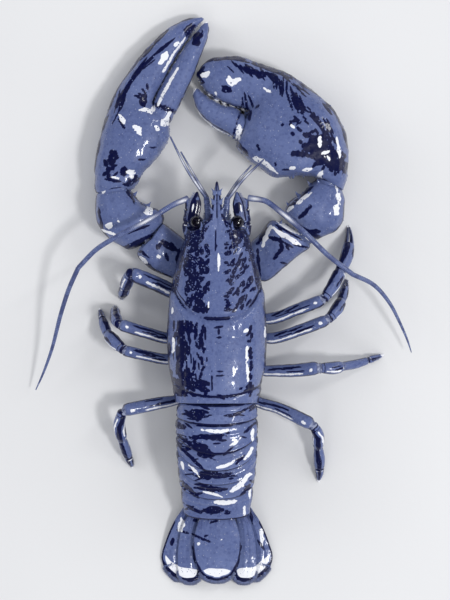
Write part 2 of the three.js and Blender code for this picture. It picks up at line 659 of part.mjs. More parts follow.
// Walking legs. Each row: x, y, z, half width. Upper runs from the breast to the knee, shank on from there
// and foot down to the floor. The first two pairs end in small pincers.
const LEG_FLATTEN = 1.12; // legs are a little deeper than wide
const LEGS = {
  leg_2_left: {
    upper: [[16, -4.4, 9.5, 3.4], [25.6, -5.2, 12.2, 4.2], [38, -10.4, 19, 4.5], [50.4, -15.4, 28.6, 3.9]],
    shank: [[51.4, -16, 29, 3.5], [53.2, -12, 22.5, 3.8], [54.8, -8.4, 16.5, 3.2]],
    foot: [[54.9, -8.2, 16, 2.9], [56, -5.4, 10.5, 3.4], [57.4, -2.4, 4, 1.9], [58, -0.8, 0.4, 0.9]],
    pincer: true,
  },
  leg_3_left: {
    upper: [[16, 17.5, 9.5, 3.2], [28.6, 23, 12, 3.3], [43, 19.4, 18, 3.5], [57.4, 14.8, 25.6, 3.2]],
    shank: [[58.6, 14.4, 26, 3.1], [60.2, 12, 20, 3.4], [61, 9.8, 14.5, 2.9]],
    foot: [[61, 9.6, 14, 2.7], [61.2, 7.8, 9, 3.1], [61.4, 5.4, 3.6, 1.7], [61.4, 4, 0.4, 0.8]],
    pincer: true,
  },
  leg_4_left: {
    upper: [[16, 31.6, 9.5, 3.2], [29.8, 35.6, 11.8, 3.1], [43, 33.2, 16.4, 3.2], [54.8, 30.4, 22.4, 3.1]],
    shank: [[56, 29.6, 22.6, 3.4], [61, 25.4, 18.4, 3.8], [65.4, 20.8, 13.4, 3.0]],
    foot: [[65.6, 20.4, 13, 2.9], [67.8, 15.4, 8.8, 2.9], [69.8, 9.4, 3.6, 1.8], [70.8, 5.6, 0.3, 0.7]],
    pincer: false,
  },
  leg_5_left: {
    upper: [[15, 53, 9.5, 3], [24, 60, 11.6, 2.8], [34, 61.8, 14.6, 3.7], [54.8, 65.8, 20.6, 3.6]],
    shank: [[56.8, 67, 20.6, 3.3], [58.6, 75, 16.4, 3.4], [57.2, 83.4, 11.2, 2.9]],
    foot: [[57, 83.8, 11, 2.8], [55, 90, 7.6, 2.9], [52.6, 97, 3.2, 2.1], [51.2, 101, 0.3, 0.8]],
    pincer: false,
  },
  leg_2_right: {
    upper: [[-16, 3, 9.5, 3.4], [-31.4, 11.2, 12, 3.4], [-48, 5.8, 18.4, 3.6], [-62.4, 0.2, 25.4, 3.3]],
    shank: [[-64, -0.8, 25.6, 3.3], [-69.4, -8.4, 21.8, 3.8], [-73.6, -16.6, 17.4, 3.5]],
    foot: [[-73.8, -17, 17.2, 3.3], [-78.2, -27, 10.8, 4.0], [-79.8, -38, 4, 2.3], [-79.4, -44.4, 0.4, 1]],
    pincer: true,
  },
  leg_3_right: {
    upper: [[-16, 17.5, 9.5, 3.2], [-32, 23, 11.8, 3.3], [-50, 18, 17, 3.5], [-65.2, 12.2, 22.6, 3.2]],
    shank: [[-67, 11.2, 22.6, 3.3], [-71.4, 6.2, 17.6, 3.7], [-74.4, 1, 12.4, 3]],
    foot: [[-74.5, 0.8, 12, 2.8], [-76.2, -4, 7.6, 3], [-77.6, -9.4, 3, 1.7], [-78.2, -12.4, 0.4, 0.8]],
    pincer: true,
  },
  leg_4_right: {
    upper: [[-16, 33, 9.5, 3.2], [-29.6, 42.6, 11.6, 3.2], [-44, 42.4, 15.6, 3.9], [-59.8, 40.8, 20.2, 3.7]],
    shank: [[-62, 40.8, 20.2, 3.4], [-68.6, 40.8, 18, 3.7], [-74.6, 40, 14.8, 3]],
    foot: [[-75, 40, 14.6, 2.8], [-84, 38.4, 9.4, 2.6], [-94, 35.4, 3.4, 1.9], [-100.2, 33.4, 0.3, 0.8]],
    pincer: false,
  },
  leg_5_right: {
    upper: [[-15, 54, 9.5, 3], [-25, 61.4, 11.6, 3.2], [-36.4, 64.8, 14.4, 3.5], [-56, 74, 19.2, 3.7]],
    shank: [[-58, 75.4, 19.2, 3.3], [-60.8, 81.6, 15, 3.4], [-60.9, 88, 10.6, 2.8]],
    foot: [[-60.9, 88.4, 10.4, 2.7], [-61.6, 96, 7, 3.3], [-61.8, 104, 3, 2.4], [-61.4, 109.4, 0.3, 0.9]],
    pincer: false,
  },
};

const legFrames = (rows, perSpan) =>
  pathFrames(
    rows.map(([x, y, z, half]) => [x, y, z, half, half * LEG_FLATTEN]),
    perSpan,
  );

function legPiece(rows, domes, grow) {
  return aboveFloor(loft(legFrames(rows, 1), { sides: 7, power: 2, domes, grow }));
}

// A foot with pincers: the palm ends at the second row, and two fingers run on to the tip, side by side.
function pincerFoot(rows, grow) {
  const palm = loft(legFrames(rows.slice(0, 2), 1), { sides: 8, power: 2, domes: [0.6, 1.2], grow });
  const along = v3(rows[3][0] - rows[1][0], rows[3][1] - rows[1][1], 0).normalize();
  const across = v3(along.y, -along.x, 0);
  const fingers = [-1, 1].map((way) => {
    const strand = rows.slice(1).map(([x, y, z, half], i) => {
      const spread = way * [0.46, 0.62, 0.8][i] * half;
      return [x + across.x * spread, y + across.y * spread, z, half * 0.44];
    });
    return loft(legFrames(strand, 1), { sides: 6, power: 2, domes: [0.8, 0.6], grow });
  });
  return aboveFloor(fuse([palm, ...fingers]));
}

// Head limbs
const side = (way) => (rows) => rows.map(([x, ...rest]) => [way * x, ...rest]);
const EYE = { x: 12.0, y: -46.2, z: 42.6, radius: 3.9 };
const FEELER_BASE = [
  [13.6, -34.5, 29.5, 4.4, 4.6],
  [15.6, -44, 31.5, 5.0, 4.8],
  [14.6, -53, 33, 4.6, 4.4],
  [15.4, -59.5, 34.2, 3.6, 3.6],
];
const FEELER_SCALE = [
  [14.5, -47, 36.6, 3.2, 0.9],
  [12.6, -56, 37.8, 3.3, 0.9],
  [11.8, -63.6, 38.6, 0.9, 0.6],
];
const SMALL_FEELER_STEM = [
  [4.6, -47, 36.5, 2.2, 2.0],
  [5.4, -54, 37.5, 2.1, 1.9],
  [6.2, -60.5, 38.2, 1.7, 1.6],
];
const FEELER_LEFT = [
  [17.4, -60.2, 34.8, 2.0, 2.0],
  [25.4, -56.8, 37.2, 1.7, 1.7],
  [40.4, -47.6, 39.4, 1.6, 1.6],
  [56.4, -39.2, 38.6, 1.55, 1.55],
  [71.4, -30.2, 35.2, 1.5, 1.5],
  [82.4, -19.4, 31, 1.45, 1.45],
];
const FEELER_LEFT_END = [
  [82.7, -19, 30.8, 1.44, 1.44],
  [88.6, -6, 26.4, 1.4, 1.4],
  [93.6, 9, 21.6, 1.3, 1.3],
  [99, 29, 15.4, 1.05, 1.05],
  [105, 45, 10, 0.7, 0.7],
  [109.2, 54, 6.6, 0.32, 0.32],
];
const FEELER_RIGHT = [
  [-19, -60.6, 34.8, 2.0, 2.0],
  [-27.6, -59.2, 37.2, 1.7, 1.7],
  [-40, -50.4, 39.4, 1.65, 1.65],
  [-52.4, -39.6, 38.8, 1.6, 1.6],
  [-66, -26.6, 36, 1.55, 1.55],
  [-80.4, -15.6, 31.4, 1.5, 1.5],
];
const FEELER_RIGHT_END = [
  [-80.8, -15.3, 31.2, 1.45, 1.45],
  [-93, -9.4, 27, 1.35, 1.35],
  [-103, 1.4, 21.6, 1.15, 1.15],
  [-109.4, 13, 16.6, 0.9, 0.9],
  [-114.4, 24, 12, 0.62, 0.62],
  [-117, 31.4, 9, 0.3, 0.3],
];
const SMALL_FEELER_OUTER = {
  left: [[6.4, -60.6, 38.6, 1.1, 1.1], [17.8, -77.4, 42.6, 0.85, 0.85], [27.6, -96.6, 42.6, 0.5, 0.5]],
  right: [[-6.8, -60.2, 38.6, 1.1, 1.1], [-15.4, -71.2, 42, 0.9, 0.9], [-27.6, -83, 44.4, 0.5, 0.5]],
};
const SMALL_FEELER_INNER = {
  left: [[5.6, -60.8, 37.4, 1.0, 1.0], [13.2, -73.6, 37, 0.75, 0.75], [21.4, -88, 33.4, 0.45, 0.45]],
  right: [[-5.8, -60.6, 37.4, 1.0, 1.0], [-12.4, -70.6, 37, 0.75, 0.75], [-20.4, -80, 35.6, 0.45, 0.45]],
};
const JAW_LEG = [
  [5.4, -28, 11.5, 2.8, 3.2],
  [6.2, -38, 15, 3.1, 3.4],
  [5.8, -47, 21, 2.7, 2.9],
  [4.6, -52.4, 25.5, 1.9, 2],
  [3.8, -54.6, 20.5, 1.3, 1.3],
];

function eye(way, grow) {
  const stalk = pathFrames(side(way)([
    [4.8, -45.2, 41, 1.9, 1.9],
    [9, -45.6, 42, 2.5, 2.5],
    [EYE.x - 0.6, EYE.y, EYE.z, 3, 3],
  ]), 1);
  return fuse([
    loft(stalk, { sides: 10, domes: [0.5, 0.5], grow }),
    bump(v3(way * EYE.x, EYE.y, EYE.z), EYE.radius, grow),
  ]);
}

function feelerBase(way, grow) {
  return fuse([
    loft(pathFrames(side(way)(FEELER_BASE), 1), { sides: 10, domes: [1, 1.4], grow }),
    loft(pathFrames(side(way)(FEELER_SCALE), 1), { sides: 6, domes: [0.8, 0.6], grow }),
    spine(v3(way * 17.6, -50, 33.6), v3(way * 0.5, -1, 0.1), 5, 1.7, grow),
  ]);
}

function smallFeelers(way, grow) {
  const name = way > 0 ? "left" : "right";
  const strand = (rows) => loft(pathFrames(rows, 3), { sides: 5, domes: [0.5, 0.3], grow });
  return fuse([
    loft(pathFrames(side(way)(SMALL_FEELER_STEM), 1), { sides: 8, domes: [0.6, 0.8], grow }),
    strand(SMALL_FEELER_OUTER[name]),
    strand(SMALL_FEELER_INNER[name]),
  ]);
}

const feeler = (rows, grow) =>
  loft(pathFrames(rows, 3), { sides: 6, power: 2, domes: [0.6, 0.3], grow });
const jawLeg = (way, grow) =>
  loft(pathFrames(side(way)(JAW_LEG), 1), { sides: 8, domes: [1, 0.6], grow });

// Every node in order of standing: a later one is cut clear of those before it by GAP.
const recipes = [];
const add = (name, colour, build) => recipes.push({ name, colour, build });

add("eye_left", DEEP_NAVY, (grow) => eye(1, grow));
add("eye_right", DEEP_NAVY, (grow) => eye(-1, grow));
add("antennule_left", SHELL_BLUE, (grow) => smallFeelers(1, grow));
add("antennule_right", SHELL_BLUE, (grow) => smallFeelers(-1, grow));
add("antenna_left", SHELL_BLUE, (grow) => feeler(FEELER_LEFT, grow));
add("antenna_left_end", SHELL_BLUE, (grow) => feeler(FEELER_LEFT_END, grow));
add("antenna_right", SHELL_BLUE, (grow) => feeler(FEELER_RIGHT, grow));
add("antenna_right_end", SHELL_BLUE, (grow) => feeler(FEELER_RIGHT_END, grow));
add("carapace", SHELL_BLUE, carapace);
add("antenna_base_left", SHELL_BLUE, (grow) => feelerBase(1, grow));
add("antenna_base_right", SHELL_BLUE, (grow) => feelerBase(-1, grow));
add("maxilliped_left", SHELL_BLUE, (grow) => jawLeg(1, grow));
add("maxilliped_right", SHELL_BLUE, (grow) => jawLeg(-1, grow));
add("cutter_carpus", SHELL_BLUE, (grow) => wrist(CUTTER_WRIST, grow));
add("crusher_carpus", SHELL_BLUE, (grow) => wrist(CRUSHER_WRIST, grow));
add("cutter_dactyl", SHELL_BLUE, cutterFinger);
add("crusher_dactyl", SHELL_BLUE, crusherFinger);
add("cutter_propodus", SHELL_BLUE, cutterPalm);
add("crusher_propodus", SHELL_BLUE, crusherPalm);
add("cutter_merus", SHELL_BLUE, (grow) => arm(CUTTER_ARM, grow));
add("crusher_merus", SHELL_BLUE, (grow) => arm(CRUSHER_ARM, grow));
for (const [name, { upper, shank, foot, pincer }] of Object.entries(LEGS)) {
  add(`${name}_foot`, SHELL_BLUE, (grow) =>
    pincer ? pincerFoot(foot, grow) : legPiece(foot, [0.8, 0.8], grow),
  );
  add(`${name}_shank`, SHELL_BLUE, (grow) => legPiece(shank, [1.2, 1.2], grow));
  add(`${name}_upper`, SHELL_BLUE, (grow) => legPiece(upper, [1, 1.2], grow));
}
add("telson", PALE_BLUE, (grow) => aboveFloor(fanPlate(TELSON, 1, grow)));
for (const [label, way] of [["left", 1], ["right", -1]]) {
  add(`uropod_inner_${label}`, PALE_BLUE, (grow) => aboveFloor(fanPlate(ENDOPOD, way, grow)));
  add(`uropod_outer_${label}`, PALE_BLUE, (grow) => aboveFloor(fanPlate(EXOPOD, way, grow)));
}
for (let index = 0; index < 6; index += 1) {
  add(`abdomen_${index + 1}`, SHELL_BLUE, (grow) => tailSegment(index, grow));
}
const legSockets = Object.values(LEGS).map(({ upper: [start, next] }) => {
  const along = (share) => [0, 1, 2].map((k) => lerp(start[k], next[k], share));
  return [
    [...along(-0.55), SOCKET_RADIUS * 0.8, SOCKET_RADIUS * 0.9],
    [...along(0.12), SOCKET_RADIUS, SOCKET_RADIUS],
  ];
});
const armSockets = [-1, 1].map((way) => [
  [way * 5, -27, 14.5, 5.2, 5.2],
  [way * 12.4, -24.6, 13.4, 6.8, 6.2],
  [way * 16.4, -23.6, 13, 6.9, 6.2],
]);
add("breast", PALE_BLUE, (grow) => aboveFloor(breast(grow, [...legSockets, ...armSockets])));

const overlap = (a, b) => [0, 1, 2].every((k) => a.min[k] < b.max[k] && b.min[k] < a.max[k]);
const largest = (solid) =>
  solid.decompose().reduce((best, next) => (next.volume() > best.volume() ? next : best));

function toGeometry(solid) {
  const mesh = solid.getMesh();
  const position = new Float32Array(mesh.numVert * 3);
  for (let i = 0; i < mesh.numVert; i += 1) {
    const start = i * mesh.numProp;
    position.set(mesh.vertProperties.subarray(start, start + 3), i * 3);
  }
  const geometry = new THREE.BufferGeometry();
  geometry.setAttribute("position", new THREE.BufferAttribute(position, 3));
  geometry.setIndex(new THREE.BufferAttribute(mesh.triVerts, 1));
  geometry.computeVertexNormals();
  return geometry;
}

const lobster = new THREE.Group();
lobster.name = "american_lobster";
const placed = [];
for (const { name, colour, build } of recipes) {
  let solid = build(0);
  for (const other of placed) {
    if (overlap(solid.boundingBox(), other.grown.boundingBox())) solid = solid.subtract(other.grown);
  }
  solid = largest(solid);
  placed.push({ name, grown: build(GAP) });
  const material = new THREE.MeshStandardMaterial({ color: colour, roughness: 0.35, metalness: 0 });
  const mesh = new THREE.Mesh(toGeometry(solid), material);
  mesh.name = name;
  lobster.add(mesh);
}

export default lobster;
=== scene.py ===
# American lobster of the blue colour form, life size, lying on its belly and seen from above.
# Shapes are worked out in millimetres in the part's own frame and turned to metres when a mesh is made.
# +Z is up, the head faces -Y and +X is the animal's left side.
import json
import math

import bpy
import numpy as np
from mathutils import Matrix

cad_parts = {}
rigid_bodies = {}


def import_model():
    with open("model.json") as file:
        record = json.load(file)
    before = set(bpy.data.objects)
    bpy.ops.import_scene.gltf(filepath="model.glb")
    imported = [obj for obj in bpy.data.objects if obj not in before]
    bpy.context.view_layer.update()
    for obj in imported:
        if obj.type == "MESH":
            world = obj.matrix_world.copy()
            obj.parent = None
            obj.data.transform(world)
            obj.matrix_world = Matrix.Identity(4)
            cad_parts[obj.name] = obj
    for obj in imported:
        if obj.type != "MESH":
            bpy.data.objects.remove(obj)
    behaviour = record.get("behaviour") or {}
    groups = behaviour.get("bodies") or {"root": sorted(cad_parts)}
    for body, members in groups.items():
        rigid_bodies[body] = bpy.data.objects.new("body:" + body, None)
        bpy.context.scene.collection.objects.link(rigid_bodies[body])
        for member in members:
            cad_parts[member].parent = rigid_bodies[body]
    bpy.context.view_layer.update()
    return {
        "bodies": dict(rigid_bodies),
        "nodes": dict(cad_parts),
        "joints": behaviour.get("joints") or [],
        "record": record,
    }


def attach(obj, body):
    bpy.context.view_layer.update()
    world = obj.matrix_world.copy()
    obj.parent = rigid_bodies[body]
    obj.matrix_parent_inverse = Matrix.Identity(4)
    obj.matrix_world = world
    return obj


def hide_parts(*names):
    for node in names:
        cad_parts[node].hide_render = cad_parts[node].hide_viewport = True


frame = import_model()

# Driving sizes in millimetres
METRE = 1000.0
ROSTRUM_TIP_Y = -69.5
BEAK_BASE_Y = -48
CARAPACE_REAR_Y = 61
CARAPACE_HALF_WIDTH = 29.7
TAIL_HALF_WIDTH = 24
FAN_END_Y = 170
GROOVE_Y = 11
GROOVE_SWEEP = 20
EYE_PLACE = (12.0, -46.2, 42.6)
EYE_RADIUS = 3.9
LEG_FLATTEN = 1.12
ABOVE_FLOOR = 0.02
RING_STEP = 1.1  # length of one ring of a feeler
TINY = 1e-9  # stands in for zero where zero can't be used
SIDES = (("left", 1), ("right", -1))  # the animal's sides and which way each lies along X

# Camera and picture
PICTURE_CENTRE = (-4.8, 0, 0)
CAMERA_HEIGHT = 2000
MEAN_HEIGHT = 16  # the level at which the picture's scale holds
PICTURE_TALL = 360
SENSOR = 36

QUARTER = math.pi / 2

# Colours, linear
MID_BLUE = (0.09, 0.12, 0.272)
STEEL_BLUE = (0.142, 0.182, 0.36)
DEEP_BLUE = (0.026, 0.038, 0.145)
NAVY = (0.003, 0.005, 0.045)
# PALE is also the colour of the highlights painted into the shell
PALE = (0.8, 0.81, 0.86)


def curve(knots):
    """A smooth function through (position, value) knots that never overshoots them."""
    x, y = np.array(knots, float).T
    slope = np.diff(y) / np.diff(x)
    tangent = np.empty(len(x))
    tangent[0], tangent[-1] = slope[0], slope[-1]
    product = slope[:-1] * slope[1:]
    total = np.where(product > 0, slope[:-1] + slope[1:], 1)
    tangent[1:-1] = np.where(product > 0, 2 * product / total, 0)

    def value(at):
        at = np.clip(at, x[0], x[-1])
        i = np.clip(np.searchsorted(x, at, "right") - 1, 0, len(x) - 2)
        width = x[i + 1] - x[i]
        t = (at - x[i]) / width
        rise = (3 - 2 * t) * t * t
        bend = width * t * (1 - t) * (tangent[i] * (1 - t) - tangent[i + 1] * t)
        return y[i] * (1 - rise) + y[i + 1] * rise + bend

    return value


def spread(stations, rows):
    """Rows of numbers made denser by smooth curves through them."""
    table = np.array(stations, float)
    at = np.linspace(0, len(table) - 1, rows)
    steps = np.arange(len(table))
    return np.column_stack([curve(np.column_stack([steps, column]))(at) for column in table.T])


def unit(vectors):
    return vectors / np.maximum(np.linalg.norm(vectors, axis=-1, keepdims=True), TINY)


def signed_power(value, power):
    return np.sign(value) * np.abs(value) ** power


def bell(value, width):
    return np.exp(-((value / width) ** 2))


def step_up(value, low, high):
    t = np.clip((value - low) / (high - low), 0, 1)
    return t * t * (3 - 2 * t)


def ripple(points, length, seed, waves=9):
    """Gentle unevenness from -1 to 1, with bumps about the given length across."""
    rng = np.random.default_rng(seed)
    total = np.zeros(points.shape[:-1])
    for _ in range(waves):
        way = rng.normal(size=3)
        way *= 2 * math.pi / (length * rng.uniform(0.7, 1.6) * np.linalg.norm(way))
        total += np.sin(points @ way + rng.uniform(0, 2 * math.pi))
    return total / math.sqrt(waves) / 1.4


class Shape:
    """The points, faces and paint of one piece. navy and pale say how dark or light its marks are; the pale
    marks include painted highlights.
    """

    def __init__(self):
        self.points, self.quads, self.triangles, self.paint, self.count = [], [], [], [], 0

    def add(self, points, quads=(), triangles=(), navy=0.0, pale=0.0, along=0.0, around=0.0):
        points = np.asarray(points, float).reshape(-1, 3)
        paint = np.empty((len(points), 4))
        for column, value in enumerate((navy, pale, along, around)):
            paint[:, column] = np.asarray(value, float).reshape(-1)
        quads = np.asarray(quads, int).reshape(-1, 4)
        triangles = np.asarray(triangles, int).reshape(-1, 3)
        if volume_of(points, quads, triangles) < 0:
            quads, triangles = quads[:, ::-1], triangles[:, ::-1]
        self.points.append(points)
        self.paint.append(paint)
        self.quads.append(quads + self.count)
        self.triangles.append(triangles + self.count)
        self.count += len(points)
        return self

    def build(self, name, material):
        quads, triangles = np.concatenate(self.quads), np.concatenate(self.triangles)
        mesh = bpy.data.meshes.new(name)
        mesh.vertices.add(self.count)
        points = np.concatenate(self.points)
        points[:, 2] = np.maximum(points[:, 2], ABOVE_FLOOR)
        mesh.vertices.foreach_set("co", (points / METRE).ravel())
        corners = np.concatenate([quads.ravel(), triangles.ravel()])
        sizes = np.concatenate([np.full(len(quads), 4), np.full(len(triangles), 3)])
        mesh.loops.add(len(corners))
        mesh.loops.foreach_set("vertex_index", corners)
        mesh.polygons.add(len(sizes))
        mesh.polygons.foreach_set("loop_start", np.cumsum(sizes) - sizes)
        mesh.polygons.foreach_set("loop_total", sizes)
        mesh.polygons.foreach_set("use_smooth", np.ones(len(sizes), bool))
        paint = np.concatenate(self.paint)
        for column, label in enumerate(("navy", "pale", "along", "around")):
            mesh.attributes.new(label, "FLOAT", "POINT").data.foreach_set("value", paint[:, column])
        mesh.update(calc_edges=True)
        mesh.validate()
        mesh.materials.append(material)
        piece = bpy.data.objects.new(name, mesh)
        bpy.context.scene.collection.objects.link(piece)
        return piece


def volume_of(points, quads, triangles):
    faces = np.concatenate([quads[:, [0, 1, 2]], quads[:, [0, 2, 3]], triangles])
    if not len(faces):
        return 0
    a, b, c = (points[faces[:, k]] for k in range(3))
    return np.einsum("ij,ij->i", a, np.cross(b, c)).sum()


def ring_faces(rows, sides):
    """Faces of rings closed round, with one more point past each end."""
    row, k = np.meshgrid(np.arange(rows - 1), np.arange(sides), indexing="ij")
    low, following = row * sides + k, row * sides + (k + 1) % sides
    quads = np.stack([low, following, following + sides, low + sides], -1).reshape(-1, 4)
    k = np.arange(sides)
    last = (rows - 1) * sides
    first = np.column_stack([np.full(sides, rows * sides), (k + 1) % sides, k])
    final = np.column_stack([np.full(sides, rows * sides + 1), last + k, last + (k + 1) % sides])
    return quads, np.concatenate([first, final])


def edge_frames(stations, rows):
    """Sections between an outer and an inner edge: x, y of each, height of the middle, half height."""
    ox, oy, ix, iy, z, half = spread(stations, rows).T
    flat = np.zeros(rows)
    centre = np.column_stack([(ox + ix) / 2, (oy + iy) / 2, z])
    side = np.column_stack([(ix - ox) / 2, (iy - oy) / 2, flat])
    return centre, side, np.column_stack([flat, flat, half])


def path_frames(stations, rows):
    """Sections along a path: x, y, z, half width, half height."""
    x, y, z, half_width, half_height = spread(stations, rows).T
    centre = np.column_stack([x, y, z])
    along = unit(np.gradient(centre, axis=0))
    side = unit(np.column_stack([along[:, 1], -along[:, 0], np.zeros(rows)]))
    up = np.cross(side, along)
    return centre, side * half_width[:, None], up * half_height[:, None]


def part_frames(frames, low, high):
    """The stretch of some frames between two shares of their length."""
    count = len(frames[0])
    return tuple(a[int(low * (count - 1)) : int(high * (count - 1)) + 1] for a in frames)


def with_domes(frames, domes, steps=7):
    """Adds rounded ends of the given lengths."""
    centre, side, up = frames
    angles = np.radians(np.linspace(0, 88, steps + 1)[1:])[:, None]

    def end(index, neighbour, length):
        way = unit(centre[index] - centre[neighbour])
        rings = [centre[index] + way * length * np.sin(angles)]
        return rings + [side[index] * np.cos(angles), up[index] * np.cos(angles)]

    start, finish = end(0, 1, domes[0]), end(-1, -2, domes[1])
    return tuple(np.concatenate([start[i][::-1], frames[i], finish[i]]) for i in range(3))


def angles_round(sides):
    """Angles round a form from its underside, past the inner edge and the top, to the outer edge."""
    return np.linspace(-QUARTER, 3 * QUARTER, sides, endpoint=False)[None, :]


def grid_normals(points, with_area=False):
    along = np.gradient(points, axis=0)
    around = np.roll(points, -1, 1) - np.roll(points, 1, 1)
    crossed = np.cross(along, around)
    outward = points - points.mean(1, keepdims=True)
    normals = unit(crossed) * np.sign((crossed * outward).sum())
    return (normals, np.linalg.norm(crossed, axis=-1)) if with_area else normals


GRAIN_PALE = 0.08


def sprinkle(shape, points, chance, count, size, seed):
    """Small rounded tubercles spread over a surface, thickest where chance is high."""
    rng = np.random.default_rng(seed)
    normals, area = grid_normals(points, True)
    weight = (np.broadcast_to(chance, area.shape) * area).ravel()
    places, ways = points.reshape(-1, 3), normals.reshape(-1, 3)
    for i in rng.choice(weight.size, count, False, weight / weight.sum()):
        radius = size * rng.uniform(0.55, 1.25)
        stud(shape, places[i], ways[i], radius * 0.85, radius, "molar", pale=GRAIN_PALE, sides=7, rows=4)


def loft(shape, frames, sides, power=2.2, domes=(2, 2), relief=None, navy=None, pale=None, grains=None):
    """Adds a rounded form through the frames. relief, navy and pale take (share of length, angle, points).
    Angle 0 is the inner edge, a quarter turn is the top and half a turn the outer edge.
    grains is (count, radius, seed, where) for small tubercles."""
    rows = len(frames[0])
    centre, side, up = with_domes(frames, domes)
    extra = (len(centre) - rows) // 2
    angle = angles_round(sides)
    cosine, sine = signed_power(np.cos(angle), 2 / power), signed_power(np.sin(angle), 2 / power)
    points = centre[:, None] + side[:, None] * cosine[..., None] + up[:, None] * sine[..., None]
    run = np.clip((np.arange(len(centre)) - extra) / (rows - 1), 0, 1)[:, None]
    share, turn = np.broadcast_arrays(run, angle)
    if relief:
        fade = np.linalg.norm(side, axis=1) / np.linalg.norm(side, axis=1).max()
        height = relief(share, turn, points) * np.clip(fade * 3, 0, 1)[:, None]
        points = points + grid_normals(points) * height[..., None]
    travelled = np.concatenate([[0], np.cumsum(np.linalg.norm(np.diff(centre, axis=0), axis=1))])
    quads, triangles = ring_faces(len(centre), sides)
    poles = [points[0].mean(0), points[-1].mean(0)]

    def painted(value):
        grid = value(share, turn, points) if value else np.zeros(share.shape)
        return np.concatenate([np.broadcast_to(grid, share.shape).ravel(), [grid.flat[0], grid.flat[-1]]])

    length = np.concatenate([np.repeat(travelled, sides), [0, travelled[-1]]])
    girth = (np.linalg.norm(side, axis=1) + np.linalg.norm(up, axis=1)) / 2
    round_it = np.append(((turn - QUARTER) * girth[:, None]).ravel(), [0, 0])
    places = np.concatenate([points.reshape(-1, 3), poles])
    shape.add(places, quads, triangles, painted(navy), painted(pale), length, round_it)
    if grains:
        count, radius, seed, where = grains
        sprinkle(shape, points, np.clip(where(share, turn, points), 0, 1), count, radius, seed)
    return shape


def stud(shape, at, toward, length, radius, form="spine", lean=None, navy=0.1, pale=0.35, sides=12, rows=9):
    """A pointed spine or a rounded molar, its flared root sunk in the surface; lean bends its tip."""
    at, toward = np.array(at, float), unit(np.array(toward, float))
    across = np.cross([0, 0, 1], toward)
    across = unit(across if np.linalg.norm(across) > 0.1 else np.array([1.0, 0, 0]))
    other = np.cross(toward, across)
    t = np.linspace(0, 0.985, rows)
    if form == "spine":
        size = radius * ((1 - t) ** 1.15 * 0.85 + 0.55 * np.exp(-t * 9))
    else:
        size = radius * np.sqrt(1 - t**2.4) * (1 + 0.25 * np.exp(-t * 9))
    run = np.concatenate([[-0.3], t])[:, None]
    size = np.concatenate([[size[0]], size])
    middle = at + toward * length * run
    if lean is not None:
        middle = middle + np.array(lean) * length * np.clip(run, 0, 1) ** 2
    angle = np.linspace(0, 2 * math.pi, sides, endpoint=False)
    circle = across * np.cos(angle)[:, None] + other * np.sin(angle)[:, None]
    points = middle[:, None] + circle[None] * size[:, None, None]
    quads, triangles = ring_faces(rows + 1, sides)
    tips = [middle[0], middle[-1] + toward * length * 0.015]
    paleness = np.concatenate([np.repeat(pale * step_up(run[:, 0], 0.1, 0.8), sides), [0, pale]])
    shape.add(np.concatenate([points.reshape(-1, 3), tips]), quads, triangles, navy, paleness)


def mirrored(rows, way):
    return [(way * row[0], *row[1:]) for row in rows]


def placed_spines(shape, rows, way):
    """Spines from rows of place, direction, length and radius, given for the animal's left side."""
    for place, toward, length, radius in rows:
        stud(shape, *mirrored((place, toward), way), length, radius)


def edge_row(shape, frames, low, high, count, edge, lift, length, radius, seed, **style):
    """Spines or molars in a row on the inner (edge 1) or outer (edge -1) side of a form."""
    rng = np.random.default_rng(seed)
    centre, side, up = frames
    forward = unit(centre[-1] - centre[0]) * 0.5
    reach = math.sqrt(1 - lift * lift)
    for share in np.linspace(low, high, count):
        i = int(round(share * (len(centre) - 1)))
        outward = unit(side[i]) * edge * reach + np.array([0, 0, lift])
        root = centre[i] + side[i] * edge * reach * 0.9 + up[i] * lift * 0.9
        size = rng.uniform(0.8, 1.15)
        stud(shape, root, outward + forward, length * size, radius * size, lean=forward * 0.5, **style)


def bite(shape, frames, low, high, sizes, edge, form, seed=2):
    """Teeth along a finger's biting edge, their sizes varying along it."""
    rng = np.random.default_rng(seed)
    centre, side, up = frames
    at = np.linspace(low, high, len(sizes))
    for share, size in zip(at, sizes):
        i = int(round(share * (len(centre) - 1)))
        way = unit(side[i]) * edge
        root = centre[i] + side[i] * edge * 0.97 - way * size * 0.3
        root = root + unit(up[i]) * rng.uniform(-0.3, 0.3)
        long = size * (1.05 if form == "molar" else 1.6)
        stud(shape, root, way, long, size * (1 if form == "molar" else 0.75), form, pale=1.0)


def frame_at(frames, share):
    i = int(round(share * (len(frames[0]) - 1)))
    return tuple(a[i] for a in frames)


# Paint
FAINT = 1e-6  # keeps a field of dashes above zero where it has nothing


def spots(points, rows):
    """Frayed spots as seen from above. A row is x, y, length, width, the turn of the long side from +X,
    and the bend, in widths, if it isn't straight."""
    total = np.zeros(points.shape[:-1])
    frayed = 0.3 * ripple(points, 6, 3) + 0.2 * ripple(points, 2.6, 4)
    for x, y, long, wide, turn, *bend in rows:
        away = points[..., 0] - x, points[..., 1] - y
        total = np.maximum(total, spot(*away, long, wide, math.radians(turn), sum(bend), frayed))
    return total


def spot(dx, dy, long, wide, turn, bend=0, frayed=0):
    along = (dx * math.cos(turn) + dy * math.sin(turn)) / long
    across = (dy * math.cos(turn) - dx * math.sin(turn)) / wide + bend * along**2
    return step_up(frayed - 2 * np.hypot(along, across), -1.3, -0.75)


def on_top(a):
    return np.sin(a) > 0


def evenly(value):
    """The same value all over a form."""
    return lambda u, a, p: value + 0 * u


def upper(a):
    """1 over the upper half of a limb and 0 below it, where its flank stays blue."""
    return step_up(np.sin(a), -0.15, 0.05)


def broken(points):
    """Strength of a dark margin, uneven so that it thins out and breaks up in places."""
    return 0.7 + 0.42 * ripple(points, 11, 15)


